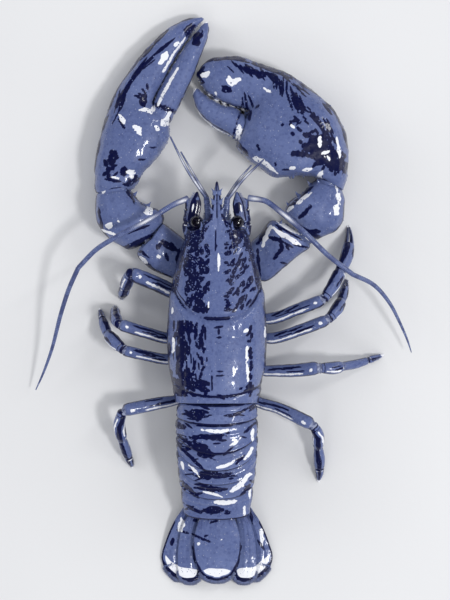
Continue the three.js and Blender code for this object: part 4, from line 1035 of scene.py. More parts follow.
EXOPOD = [
    (125, 15, 20.5, 9.4, 9.0, 2.1),
    (134, 17.5, 26.2, 6.2, 5.6, 1.8),
    (146, 20, 31.2, 3.1, 2.9, 1.4),
    (155, 20, 33.6, 1.6, 1.5, 1.4),
    (161.4, 19.8, 32, 1.4, 1.4, 1.35),
    (165.8, 20.4, 28, 1.4, 1.4, 1.25),
    (168, 21.4, 24.6, 1.4, 1.4, 1.2),
]
DIAERESIS_SHARE = 0.62  # where the outer blade's cross seam lies


def fan_frames(stations, way, rows):
    y, left, right, z_left, z_right, half = spread(stations, rows).T
    flat = np.zeros(rows)
    centre = np.column_stack([way * (left + right) / 2, y, (z_left + z_right) / 2])
    side = np.column_stack([way * (right - left) / 2, flat, (z_right - z_left) / 2])
    return centre, side, np.column_stack([flat, flat, half])


def blade_relief(seam):
    def relief(u, a, p):
        across = np.cos(a)
        top = step_up(np.sin(a), 0, 0.3)
        height = 0.45 * bell(across, 0.12) * step_up(-u, -0.82, -0.5)
        height = height + 0.2 * bell(across - 0.45, 0.1) * step_up(-u, -0.75, -0.4)
        height = height + 0.045 * np.sin(across * 52) * step_up(u, 0.3, 0.7) * step_up(-u, -0.97, -0.9)
        height = height + 0.35 * bell(u - 0.9, 0.035) + 0.12 * ripple(p, 5, 33)
        if seam:
            height = height - 0.6 * bell(u - DIAERESIS_SHARE - 0.05 * across, 0.012)
        return height * top

    return relief


FAN_POWER = 2.3
REAR_BAND_Y = 161.4  # where the pale rear band of the fan starts
# The outline of a side lobe, made of an inner and an outer blade, as x, y from its inner to its fore corner
LOBE_EDGE = [
    (9.6, 156),
    (9.4, 163.4),
    (11, 167.8),
    (14, 169.8),
    (18.4, 170.2),
    (23, 169.2),
    (28, 166),
    (32, 161.4),
    (33.8, 155),
    (31.4, 146),
    (26.4, 134),
]


def on_middle_lobe(points):
    return abs(points[..., 0].mean()) < 5


def rim_distance(points):
    """How far each point of a blade lies from the outline of its lobe as seen from above."""
    sides = points.shape[1]
    outline = points[:, [sides // 4, 3 * sides // 4], :2].reshape(-1, 2)
    if not on_middle_lobe(points):
        outline = spread(LOBE_EDGE, 200) * [np.sign(points[..., 0].mean()), 1]
    flat = points[..., :2].reshape(-1, 1, 2)
    near = [np.hypot(*(part - outline).transpose(2, 0, 1)).min(1) for part in np.array_split(flat, 40)]
    return np.concatenate(near).reshape(points.shape[:-1])


FAN_DARKS = [
    (13.8, 154.5, 12, 1.1, 100),
    (-13.4, 154.5, 12, 1.1, 80),
    (20.7, 139.4, 9, 1.3, 166),
    (10.2, 142.8, 13, 1.5, 157),
    (27, 146.5, 4.5, 2.2, 80),
    (13.2, 132, 3.2, 2.6, 0),
    (2, 133, 5, 1.3, 20),
    (6.5, 141.6, 3, 1.3, 20),
    (-26.6, 148, 8, 1.3, 124),
    (-20.6, 130, 9, 1.5, 98),
]
# Painted highlights on the fan, as x, y, length, width and turn
FAN_GLINTS = [
    (21.6, 135.6, 8.5, 4, 72),
    (-27, 142.4, 9.5, 2.4, 97),
    (11, 146.4, 1.8, 1.7, 0),
    (-2.6, 144, 1.1, 1.1, 0),
]


def blade_paint(seam):
    """A pale crescent, then a broad dark line along the rear edge, and a thin dark line up the sides."""

    def navy(u, a, p):
        rim, y = rim_distance(p), p[..., 1]
        rear = step_up(y, 156, 162)
        middle_lobe = on_middle_lobe(p)
        starts = (143, 150) if middle_lobe else (124, 134)
        thick = (0.7 if middle_lobe else 1.3) + 1.2 * rear
        dark = 0.95 * step_up(-rim, -thick, 0.3 - thick) * step_up(y, *starts)
        dark = dark + 0.3 * step_up(-u, -0.3, -0.05)
        marks = np.maximum(dark, spots(p, FAN_DARKS))
        if seam:
            marks = marks + 0.3 * bell(u - DIAERESIS_SHARE - 0.05 * np.cos(a), 0.01)
        return np.clip(marks * (np.sin(a) > -0.3), 0, 1)

    def pale(u, a, p):
        rim, y, off = rim_distance(p), p[..., 1], np.abs(p[..., 0])
        front = REAR_BAND_Y + 1.4 * bell(off - 10, 3) - 0.02 * np.maximum(off - 16, 0) ** 2.2
        band = step_up(rim, 2.3, 2.7) * step_up(y - front + 0.4 * ripple(p, 7, 8), 0, 0.8)
        # pale: the pale rear band and the painted highlights
        return np.clip(np.maximum(band, spots(p, FAN_GLINTS)) * (np.sin(a) > 0), 0, 1)

    return navy, pale


def fan():
    blades = [("telson", TELSON, 1, False)]
    for label, way in SIDES:
        blades.append((f"uropod_inner_{label}", ENDOPOD, way, False))
        blades.append((f"uropod_outer_{label}", EXOPOD, way, True))
    for name, stations, way, seam in blades:
        frames = fan_frames(stations, way, 140)
        everywhere = lambda u, a, p: step_up(np.sin(a), 0.1, 0.3) * step_up(-u, -0.8, -0.7)
        shape, relief, grains = Shape(), blade_relief(seam), (90, 0.2, 34, everywhere)
        loft(shape, frames, 120, FAN_POWER, (1, 0.8), relief, *blade_paint(seam), grains)
        if seam:
            seam_teeth(shape, frames)
        for across in (-0.96, 0.96):
            centre, side, _ = frame_at(frames, 0.8)
            stud(shape, centre + side * across, (across * way * 0.5, 1, 0), 2.0, 0.8, pale=0.5)
        register(shape.build(f"{name}_blade", FAN), "body_shell", name)
        fan_fringe(name, frames)


def seam_teeth(shape, frames):
    """Small spines along the outer blade's cross seam."""
    for across in np.linspace(-0.8, 0.95, 12):
        centre, side, up = frame_at(frames, DIAERESIS_SHARE + 0.05 * across - 0.02)
        stud(shape, centre + side * across + up * 0.75, (0, 1, 0.15), 1.3, 0.42, sides=8, rows=5, pale=0.4)


def hairs(name, roots, ways, lengths, width, droop, seed, tint):
    """Thin tapered hairs joined in one mesh, each with a small patch of its own in the OFBake map."""
    rng = np.random.default_rng(seed)
    count, sides = len(roots), 3
    steps = np.array([-0.15, 0.3, 0.65, 0.97])
    ways = unit(ways + rng.normal(0, 0.07, ways.shape))
    across = unit(np.cross(ways, [0.03, 0.02, 1.0]))
    other = np.cross(ways, across)
    thick = width * np.array([1.0, 0.9, 0.62, 0.12])
    middle = roots[:, None] + ways[:, None] * (lengths[:, None] * steps)[..., None]
    sag = droop * lengths[:, None] * np.clip(steps, 0, 1) ** 2
    middle = middle - np.array([0, 0, 1.0]) * sag[..., None]
    angle = np.linspace(0, 2 * math.pi, sides, endpoint=False)
    circle = across[:, None] * np.cos(angle)[None, :, None] + other[:, None] * np.sin(angle)[None, :, None]
    points = middle[:, :, None] + circle[:, None] * thick[None, :, None, None]
    per_hair = len(steps) * sides
    base = (np.arange(count) * per_hair)[:, None, None]
    row, k = np.meshgrid(np.arange(len(steps) - 1), np.arange(sides), indexing="ij")
    low, following = row * sides + k, row * sides + (k + 1) % sides
    quads = np.stack([low, following, following + sides, low + sides], -1).reshape(1, -1, 4) + base
    caps = np.array([[0, 2, 1], [per_hair - 3, per_hair - 2, per_hair - 1]])[None] + base
    pale = np.broadcast_to(np.clip(steps, 0, 1)[None, :, None] * tint, (count, len(steps), sides))
    points[..., 2] = np.maximum(points[..., 2], ABOVE_FLOOR)
    shape = Shape().add(points, quads.reshape(-1, 4), caps.reshape(-1, 3), 0, pale.ravel())
    piece = shape.build(name, HAIR)
    bake_map(piece, roots, per_hair)
    return register(piece, "body_shell")


HAIR_PATCH = 0.003  # size of one hair's patch in its map


def bake_map(piece, roots, per_hair):
    """Each hair's patch lies at its root's place as seen from above."""
    low, high = roots.min(0), roots.max(0)
    place = 0.05 + 0.9 * (roots - low)[:, :2] / max((high - low)[:2].max(), 1e-6)
    corner = np.empty(len(piece.data.loops), int)
    piece.data.loops.foreach_get("vertex_index", corner)
    hair, within = corner // per_hair, corner % per_hair
    offset = np.stack([within % 3, within // 3], -1) * HAIR_PATCH / 3
    layer = piece.data.uv_layers.new(name="OFBake")
    layer.data.foreach_set("uv", (place[hair] + offset).ravel())


def fan_fringe(name, frames, count=1500, length=2.8):
    """Hairs round the rear edge of a fan blade and a little way up its sides."""
    rng = np.random.default_rng(sum(map(ord, name)))
    centre, side, up = frames
    rear = rng.random(count) < 0.55
    across = np.where(rear, rng.uniform(-0.98, 0.98, count), np.where(rng.random(count) < 0.5, -0.97, 0.97))
    u = np.where(rear, 1.0, 1 - 0.34 * rng.random(count) ** 1.4)
    i = np.round(u * (len(centre) - 1)).astype(int)
    roots = centre[i] + side[i] * across[:, None] * 0.99 + up[i] * rng.uniform(-0.6, 0.6, count)[:, None]
    away = unit(side[i]) * across[:, None]
    ways = np.where(rear[:, None], away * 0.8 + [0, 1.0, -0.03], away * 0.9 + [0, 0.9, 0])
    lengths = length * rng.uniform(0.75, 1.1, count) * np.where(rear, 1, 1 - 1.1 * (1 - u))
    hairs(f"{name}_fringe", roots, ways, lengths, 0.15, 0.06, 31, 0.2)


# Claws
CUTTER_PALM = [
    (73.0, -65.4, 49.6, -67.8, 13, 10),
    (73.6, -76.8, 43.0, -77.4, 13.5, 13),
    (71.8, -89.4, 33.4, -88.8, 14, 14.8),
    (68.8, -101.4, 28.6, -98.4, 14, 14.8),
    (65.2, -112.8, 28.4, -106.2, 13.5, 13.4),
    (60.4, -124.8, 38.2, -118.4, 11.5, 10),
    (51.4, -139.2, 31.6, -132.6, 10.5, 9),
    (42.4, -150.9, 25.0, -145.8, 9.5, 8),
    (34.0, -159, 19.2, -154.6, 8.5, 7),
    (25.0, -165.6, 15, -160.6, 7.5, 5.5),
    (16.0, -169.8, 11.6, -165.4, 6.5, 3.8),
    (10, -170.4, 8.6, -168.4, 6, 2),
]
CUTTER_FINGER = [
    (39.4, -110.8, 28.6, -106.4, 14, 8.4),
    (36.2, -120, 23.4, -115.2, 13.5, 8.5),
    (30.6, -130.8, 18.2, -126, 12.5, 8),
    (24.2, -142.4, 12.4, -139.4, 11.5, 7),
    (18.2, -152.0, 8.2, -150.4, 10, 6),
    (13.2, -158.6, 5.8, -158.2, 9, 5),
    (9.4, -163.2, 5.0, -163.6, 8, 3.5),
    (6.8, -167.0, 5.4, -167.2, 7.5, 1.8),
]
CUTTER_WRIST = [
    (55.0, -30.6, 36.4, -40.2, 14, 9),
    (66.4, -38.4, 32.2, -48.6, 15, 13.2),
    (71.8, -46.8, 34.6, -52.8, 15.5, 14.2),
    (73.0, -55.2, 43.6, -57.6, 15, 13.6),
    (72.4, -61.8, 50.2, -63.6, 14, 11.6),
    (70.2, -67.4, 53.2, -69.2, 13.5, 8.6),
]
CUTTER_ARM = [
    (14.4, -31.4, 15.2, -15.4, 12.5, 6.5),
    (21.4, -38.4, 24.6, -13.2, 13, 8),
    (27.4, -43.2, 34.8, -15.4, 13.8, 10.2),
    (32.2, -45.6, 43.4, -22, 14.5, 11),
    (34.6, -42.0, 47.8, -27.6, 14.5, 9.5),
    (38.2, -37.2, 44.2, -31.8, 14.5, 6),
]
CRUSHER_PALM = [
    (-75.8, -66.6, -59.6, -75.0, 15, 11),
    (-78.8, -81.0, -48.8, -74.4, 17.5, 15.5),
    (-77.6, -96.0, -35.6, -73.4, 18.5, 19.1),
    (-71.6, -111.0, -24.8, -79.8, 19, 19.6),
    (-62.0, -121.2, -16.4, -86.4, 18.5, 19.1),
    (-50.6, -130.2, -11.8, -93.2, 17, 16.6),
    (-38.6, -137.4, -18.2, -112.8, 14.5, 13),
    (-23.6, -142.2, -9.2, -116.8, 13.5, 12),
    (-10.4, -146.2, -0.8, -119.6, 12.5, 11),
    (1.4, -145.4, 5.4, -124.6, 11.5, 9),
    (8.6, -141.4, 9.2, -129.4, 10.5, 6.5),
    (11.4, -137.6, 11.4, -133.4, 10, 4),
]
CRUSHER_FINGER = [
    (-16.6, -108.4, -12.2, -95.6, 15, 11),
    (-10.4, -113.2, -6.2, -99, 14.5, 11.5),
    (-2.0, -115.2, 2.8, -104.1, 13.5, 10.5),
    (5.0, -118.8, 9.6, -110.6, 12.5, 8.5),
    (10.2, -123.2, 13.6, -117.4, 11.5, 6),
    (13.2, -126.0, 14.8, -123.4, 11, 3.2),
]
CRUSHER_WRIST = [
    (-61.4, -37.2, -47.0, -45.6, 14.5, 9.5),
    (-72.2, -42.6, -41.0, -52.8, 15.5, 13.6),
    (-76.4, -50.4, -43.4, -58.8, 16, 14.6),
    (-76.4, -58.8, -50.6, -63.6, 15.6, 14),
    (-75.2, -64.8, -56.6, -69.6, 15, 12.4),
    (-72.8, -70, -60.8, -74.6, 14.5, 9.5),
]
CRUSHER_ARM = [
    (-15.6, -30, -16.4, -13.6, 12.5, 6.5),
    (-24.4, -38.8, -28.4, -11.6, 13, 8.2),
    (-32.6, -48, -40.4, -19.2, 13.8, 10.8),
    (-40.4, -46.2, -48.8, -26.4, 14.5, 11),
    (-47.0, -42, -55.4, -31.8, 14.5, 9),
    (-51.8, -39.6, -56, -34.8, 14.5, 6),
]
FINGER_FROM = 0.5  # the share of a palm's length where its fixed finger starts


def claw_relief(seed, keel=0.5, swell=0.3):
    def relief(u, a, p):
        ends = step_up(-np.abs(u - 0.5), -0.5, -0.42)
        height = swell * ripple(p, 16, seed) + 0.14 * ripple(p, 5, seed + 1)
        height = height + 0.06 * ripple(p, 2.4, seed + 2)
        height = height + keel * bell(np.cos(a) + 1, 0.06) * step_up(u, 0.05, 0.2)
        return height * ends + 0.5 * bell(u - 0.025, 0.02) - 0.4 * bell(u - 0.075, 0.018)

    return relief


CLAW_DARKS = [
    (16.8, -162.5, 9, 4.5, 50),
    (11.7, -157, 9.5, 5, 70),
    (44, -118.8, 7, 4.5, 80),
    (56.7, -105, 10, 1.4, 124),
    (45, -83.7, 4, 1, 0, 1),
    (38.4, -91, 4, 1, 0, 1),
    (27.8, -105.5, 7, 1.7, 100),
    (50.6, -71.6, 9, 4.6, 25),
    (55.6, -77.5, 4, 6, 0),
    (61.5, -71.4, 12, 1.4, 170),
    (-13.4, -92.4, 16, 2.4, 130),
    (-24.6, -90.6, 5, 1.2, 120),
    (-34.8, -81, 3, 1.2, 90),
    (-41, -77.5, 4, 1, 0),
    (-17.4, -118.5, 12, 1.3, 100),
    (-20, -119.5, 10, 1.2, 112),
    (-15.4, -116.5, 9, 1.2, 92),
    (-18.9, -111.6, 7, 3.6, 100),
    (-24.3, -115.5, 3, 1, 30),
    (-5.2, -126.6, 5.5, 4, 150),
    (-65, -85, 26, 10, 153),
    (-61, -91, 11, 9, 100),
    (-50, -86.5, 12, 3.2, 170),
]


def palm_marks(a, p, margin, rows, seed):
    """A palm's dark margin, its spots and its fields of dashes."""
    top = on_top(a)
    fields = [dashes(p, field * top + TINY, *row, seed=seed + i) for i, (field, *row) in enumerate(rows)]
    marks = np.max([*fields, spots(p, CLAW_DARKS) * top], 0)
    return np.clip(margin * broken(p) * upper(a) + marks, 0, 1)


def cutter_palm_navy(u, a, p):
    c = np.cos(a)
    margin = 1.1 * bell(1 + c, 0.08) + 0.5 * bell(c - 0.97, 0.07) * (u > FINGER_FROM)
    lengthwise = c + 0.68 - 2 * (u - 0.38)
    rows = [
        (bell(lengthwise, 0.13) * bell(u - 0.52, 0.11), 34, 12, 1.2, -7, 4),
        (bell(c + 0.8, 0.06) * bell(u - 0.66, 0.12), 12, 12, 1.2, 0, 4),
        (bell(c + 0.36, 0.15) * bell(u - 0.12, 0.045), 26, 4, 1.9, 20, 40),
        (bell(u - 0.46, 0.03) * bell(c - 0.35, 0.25), 7, 5, 1.2, 60, 25),
    ]
    return palm_marks(a, p, margin, rows, 140)


def crusher_palm_navy(u, a, p):
    c = np.cos(a)
    margin = 1.1 * bell(1 + c, 0.08) * step_up(u, 0.1, 0.2)
    margin = margin + 0.5 * bell(c - 0.97, 0.07) * (u > FINGER_FROM)
    patch = spots(p, [(-64, -87, 32, 17, 150)])
    trail = spots(p, [(-52, -99, 24, 12, 140)])
    rows = [
        (bell(c + 0.52, 0.11) * bell(u - 0.58, 0.1), 48, 7, 1.2, -32, 6),
        (bell(c + 0.5, 0.1) * bell(u - 0.42, 0.07), 26, 8, 1.2, -26, 6),
        (bell(c + 0.56, 0.1) * bell(u - 0.27, 0.06), 10, 15, 1.3, -6, 4),
        (bell(c + 0.84, 0.05) * bell(u - 0.6, 0.17), 26, 10, 1.3, 0, 5),
        (patch, 40, 5, 2.4, 30, 45),
        (trail, 22, 3.6, 1.8, 30, 25),
        (bell(u - 0.95, 0.03) * bell(c, 0.7), 18, 4, 1.7, 20, 30),
    ]
    return palm_marks(a, p, margin, rows, 150)


# Painted highlights on the claws, as x, y, length, width, turn and bend
CLAW_GLINTS = [
    (32, -145, 8.5, 3.8, 60, 0.6),
    (24.5, -153.5, 5, 2.4, 50),
    (42, -113.5, 9, 2.4, 165, 1),
    (38.4, -114, 6, 2.2, 70),
    (31, -106, 6, 4.6, 40, 1),
    (36, -103, 5, 2.6, 140),
    (47, -101.5, 9, 3, 122, 1),
    (56.5, -108, 9, 2.2, 122, 0.6),
    (51, -76.5, 4.4, 3.2, 0),
    (62, -73.4, 7, 1.6, 170, 1),
    (29, -111, 5, 2.2, 60),
    (-9.8, -130.2, 8, 3.6, 20, 1),
    (-7.6, -131.6, 4, 4.4, 0),
    (-13.2, -100, 9.5, 3.2, 80, 0.8),
    (-28.5, -81.5, 16, 2.6, 146, 1),
    (-72.6, -90, 11, 2.0, 98, 0.8),
    (-61, -93.5, 2.2, 6, 0),
    (-64.5, -87.6, 5, 1.8, 20),
    (-66.4, -84, 3.4, 1.5, 120),
    (-45.5, -102.6, 4.5, 2, 150),
    (-45, -78.5, 4, 2, 10),
    (-54, -77.5, 6, 1.8, 10),
    (-30, -125, 6, 1.6, 150),
    (7, -135, 5, 3.4, 30),
    (-61, -73.2, 8.5, 3, 67),
]


def palm_pale(u, a, p):
    c = np.cos(a)
    # line is a long painted highlight beside the cutter's gape; the pale inner edge of the fixed finger is
    # the shell's own
    line = bell(c - 0.74, 0.1) * step_up(u, 0.55, 0.58) * step_up(-u, -0.8, -0.74) * (p[..., 0] > 0)
    glints = np.maximum(spots(p, CLAW_GLINTS), line) * on_top(a)
    return np.clip(glints + 0.5 * bell(c - 1, 0.04) * step_up(u, FINGER_FROM, FINGER_FROM + 0.05), 0, 1)


def on_cutter(points):
    """Whether a movable finger is the cutter's."""
    return points[..., 0].mean() > 8


def finger_pale(u, a, p):
    c, cutter_side = np.cos(a), on_cutter(p)
    # line and rim are long painted highlights along the fingers; the pale biting edge and tip are the
    # shell's own
    line = bell(c + 0.5, 0.16) * step_up(u, 0.06, 0.12) * step_up(-u, -0.46, -0.36) * cutter_side
    rim = bell(c - 0.97, 0.05) * step_up(u, 0.08, 0.14) * step_up(-u, -0.98, -0.9) * (not cutter_side)
    glints = np.maximum(np.maximum(line, rim), spots(p, CLAW_GLINTS)) * on_top(a)
    biting = 0.5 * bell(c + 1, 0.08) * step_up(u, 0.06, 0.15)
    return np.clip(glints + biting + 0.7 * step_up(u, 0.97, 1.0), 0, 1)


def finger_navy(u, a, p):
    c = np.cos(a)
    edge = 0.97 if on_cutter(p) else 0.84
    outline = 0.85 * bell(c - edge, 0.05) * step_up(u, 0.1, 0.2)
    marks = spots(p, CLAW_DARKS) * on_top(a)
    return np.clip(np.maximum(outline * upper(a) + 0.5 * bell(u - 0.1, 0.03), marks), 0, 1)


def joint_navy(u, a, p):
    """Dark rims at both ends of an arm or leg piece and a dark outline."""
    rims = step_up(-u, -0.05, -0.01) + bell(u - 0.95, 0.02)
    return np.clip(0.6 * rims + broken(p) * bell(1 - np.abs(np.cos(a)), 0.07) * upper(a), 0, 1)


def rearward(p):
    """Where a point lies across a limb seen from above, from -1 at its fore edge to 1 at its rear edge."""
    y = p[..., 1]
    middle, half = y.mean(1, keepdims=True), np.ptp(y, axis=1, keepdims=True) / 2
    return (y - middle) / np.maximum(half, 0.1)


# A small painted highlight near a piece's near end, on top of its rear flank
def joint_glint(u, a, p):
    return 0.9 * bell(u - 0.12, 0.04) * bell(rearward(p) - 0.6, 0.2) * on_top(a)


def inner_margin(u, a, p):
    return bell(np.cos(a) - 0.8, 0.35) * step_up(np.sin(a), -0.4, 0) + 0.12


def finger_base(u, a, p):
    return step_up(np.sin(a), -0.3, 0) * step_up(-u, -0.5, -0.1)


def closed_up(frames, more):
    """A finger's frames with its biting edge moved out, so that the claw closes on its teeth."""
    centre, side, up = frames
    shift = unit(side) * more
    return centre - shift / 2, side + shift / 2, up


def spines(shape, frames, rows, seed):
    for low, high, count, length, radius, lift in rows:
        edge_row(shape, frames, low, high, count, 1, lift, length, radius, seed)


def condyles(shape, frame, size):
    """The rounded pivots above and below a claw's movable finger."""
    centre, side, up = frame
    for way in (1, -1):
        at = centre + side * 0.1 + up * way * 0.84
        stud(shape, at, up * way, size * 0.6, size * 0.8, "molar", pale=0.55, sides=20)


SHEAR_TEETH = [1.3, 0.8, 1.6, 0.7, 1.2, 0.8, 1.4, 0.7, 1.2, 0.7, 1.3, 0.7, 1.1, 0.6, 1.0]
SHEAR_TEETH_TIP = [0.6, 0.9, 0.5, 0.7]
MOLARS = [2.0, 2.6, 2.3, 1.8, 2.0, 1.5, 1.2, 1.0, 0.8]
CLAW_GRAINS = 0.34  # radius of a claw's tubercles


def cutter():
    palm = edge_frames(CUTTER_PALM, 230)
    grains = (420, CLAW_GRAINS, 47, inner_margin)
    shape = loft(Shape(), palm, 128, 2.3, (3, 1), claw_relief(41), cutter_palm_navy, palm_pale, grains)
    finger = part_frames(palm, FINGER_FROM, 1)
    bite(shape, finger, 0.02, 0.9, SHEAR_TEETH + SHEAR_TEETH_TIP, 1, "spine")
    spines(shape, palm, [(0.08, 0.36, 4, 3.0, 1.9, 0.45), (0.04, 0.38, 7, 1.7, 1.1, 0.05)], 43)
    centre, side, up = (a[14] for a in palm)
    stud(shape, centre + side * 0.55 + up * 0.72, (-0.5, -0.4, 1), 2.2, 2.0, "molar", pale=0.8)
    register(shape.build("cutter_palm", CUTTER), "claw_shell", "cutter_propodus")
    dactyl = closed_up(edge_frames(CUTTER_FINGER, 150), 1.0)
    grains = (160, 0.26, 48, finger_base)
    shape = loft(Shape(), dactyl, 104, 2.3, (3, 0.8), claw_relief(44), finger_navy, finger_pale, grains)
    bite(shape, dactyl, 0.16, 0.88, SHEAR_TEETH, -1, "spine")
    spines(shape, dactyl, [(0.04, 0.24, 3, 1.6, 1.1, 0.3)], 45)
    condyles(shape, frame_at(dactyl, 0.02), 2.6)
    register(shape.build("cutter_finger", CUTTER), "claw_shell", "cutter_dactyl")


def crusher():
    palm = edge_frames(CRUSHER_PALM, 230)
    grains = (420, CLAW_GRAINS, 57, inner_margin)
    relief = claw_relief(51, 0.4, 0.45)
    shape = loft(Shape(), palm, 150, 2.3, (3, 1.2), relief, crusher_palm_navy, palm_pale, grains)
    finger = part_frames(palm, FINGER_FROM, 1)
    bite(shape, finger, 0.06, 0.92, MOLARS, 1, "molar")
    spines(shape, palm, [(0.14, 0.42, 4, 3.0, 2.3, 0.4), (0.08, 0.44, 7, 1.9, 1.3, 0.0)], 53)
    register(shape.build("crusher_palm", CRUSHER), "claw_shell", "crusher_propodus")
    dactyl = closed_up(edge_frames(CRUSHER_FINGER, 140), 1.8)
    grains = (140, 0.28, 58, finger_base)
    shape = loft(Shape(), dactyl, 104, 2.3, (3, 1), claw_relief(54), finger_navy, finger_pale, grains)
    bite(shape, dactyl, 0.24, 0.9, [1.7, 2.1, 1.9, 1.4, 1.2, 0.9, 0.8], -1, "molar")
    spines(shape, dactyl, [(0.06, 0.24, 3, 1.8, 1.3, 0.3)], 55)
    condyles(shape, frame_at(dactyl, 0.03), 3.2)
    register(shape.build("crusher_finger", CRUSHER), "claw_shell", "crusher_dactyl")


def wrist_relief(u, a, p):
    """A furrow over the top, a swollen far rim and uneven flanks."""
    furrow = -0.8 * bell(np.cos(a) + 0.25, 0.14) * bell(u - 0.6, 0.28) * on_top(a)
    rim = 0.7 * bell(u - 0.96, 0.03) - 0.6 * bell(u - 0.89, 0.03)
    return furrow + rim + 0.5 * ripple(p, 15, 61) + 0.14 * ripple(p, 5, 62)


# Painted highlights on the arms and wrists, as x, y, length, width and turn
ARM_GLINTS = [
    (40.8, -53.4, 5, 4.4, 0),
    (64.2, -44.6, 5, 3.4, 60),
    (58.8, -46.8, 1.8, 1.4, 0),
    (64.5, -40.4, 9, 1.8, 163),
    (67.8, -65, 2.4, 2.6, 0),
    (43.6, -23.6, 6, 2.2, 140),
    (34.8, -25.8, 2.2, 1.8, 0),
    (54, -29.5, 3, 1.6, 160),
    (-43.5, -54.3, 5, 2.2, 45),
    (-51.6, -60.6, 8.5, 2.6, 39),
    (-72, -69, 8, 2.2, 85),
    (-72.6, -60.6, 6.5, 2.6, 95),
    (-71.4, -53.6, 6.5, 3.4, 90),
    (-43.4, -42.8, 19, 2.5, 151),
    (-42, -37.6, 21, 2.8, 149),
    (-54.5, -37.4, 6, 2.4, 150),
    (-29.6, -38.4, 15, 2.4, 69),
    (19, -27, 3, 2.4, 0),
]
ARM_DARKS = [
    # The first row is a painted shadow of the long feeler that lies over the cutter's wrist
    (47.1, -42.3, 16, 1.7, 20),
    (47.7, -61.5, 11, 2.2, 135),
    (40.5, -55.8, 7.5, 2.2, 150),
    (51.9, -62.7, 9, 2.4, 122),
    (69.6, -48, 14, 1.6, 100),
    (34.8, -31.8, 7.5, 2.6, 59),
    (28.5, -32.6, 11, 3.8, 152),
    (23.4, -25.2, 10, 2, 83),
    (30, -25.8, 4.5, 1.8, 110),
    (41.5, -21.5, 12, 1.7, 140),
    (32, -15.4, 9, 1.6, 160),
    (45.5, -28.6, 12, 1.8, 150),
    (-57.6, -40.6, 10, 3, 14),
    (-45.6, -57.6, 12, 2, 43),
    (-53.7, -64.8, 10.5, 2, 40),
    (-52.8, -52.8, 10, 2.3, 45),
    (-27.6, -39.8, 16, 2.4, 65),
    (-24.9, -22.5, 20, 1.8, 95),
    (-43, -40.4, 19, 1.3, 150),
    (-39.6, -34.6, 14, 1.3, 150),
    (-38.6, -40.6, 11, 1.6, 119),
    (-34.4, -36.6, 8, 2, 156),
    (-38.4, -33, 7, 2.2, 100),
    (-36.6, -28, 7, 2, 56),
    (-39.6, -22.2, 4, 1.3, 170),
    (-42.6, -30.6, 3, 1.3, 130),
    (-51, -32, 9, 1.4, 170),
]


def wrist_navy(u, a, p):
    marks = spots(p, ARM_DARKS) * on_top(a)
    return np.clip(np.maximum(joint_navy(u, a, p), marks), 0, 1)


# Painted highlights on the top of an arm or wrist
def wrist_glints(u, a, p):
    return spots(p, ARM_GLINTS) * on_top(a)


def arm_top(u, a, p):
    return step_up(np.sin(a), 0, 0.4) * 0.3 + bell(np.cos(a) - 0.8, 0.3)


def arm_pieces():
    for side_name, wrist, arm, material in (
        ("cutter", CUTTER_WRIST, CUTTER_ARM, CUTTER),
        ("crusher", CRUSHER_WRIST, CRUSHER_ARM, CRUSHER),
    ):
        frames = edge_frames(wrist, 120)
        grains = (160, 0.3, 68, arm_top)
        shape = loft(Shape(), frames, 104, 2.3, (2.5, 2), wrist_relief, wrist_navy, wrist_glints, grains)
        spines(shape, frames, [(0.3, 0.76, 3, 4.2, 2.1, 0.25), (0.34, 0.84, 3, 3.2, 1.8, 0.75)], 62)
        edge_row(shape, frames, 0.4, 0.8, 3, -1, 0.75, 2.4, 1.5, 63)
        edge_row(shape, frames, 0.2, 0.85, 9, 1, 0.5, 1.3, 0.8, 64)
        register(shape.build(f"{side_name}_wrist", material), "claw_shell", f"{side_name}_carpus")
        frames = edge_frames(arm, 100)
        grains = (110, 0.26, 69, arm_top)
        shape = loft(Shape(), frames, 96, 2.3, (2, 1.5), wrist_relief, wrist_navy, wrist_glints, grains)
        edge_row(shape, frames, 0.5, 0.85, 2, -1, 0.5, 3.4, 1.7, 66)
        edge_row(shape, frames, 0.3, 0.85, 6, -1, 0.15, 1.4, 0.9, 67)
        edge_row(shape, frames, 0.8, 0.92, 2, 1, 0.7, 2.2, 1.3, 70)
        register(shape.build(f"{side_name}_arm", material), "claw_shell", f"{side_name}_merus")


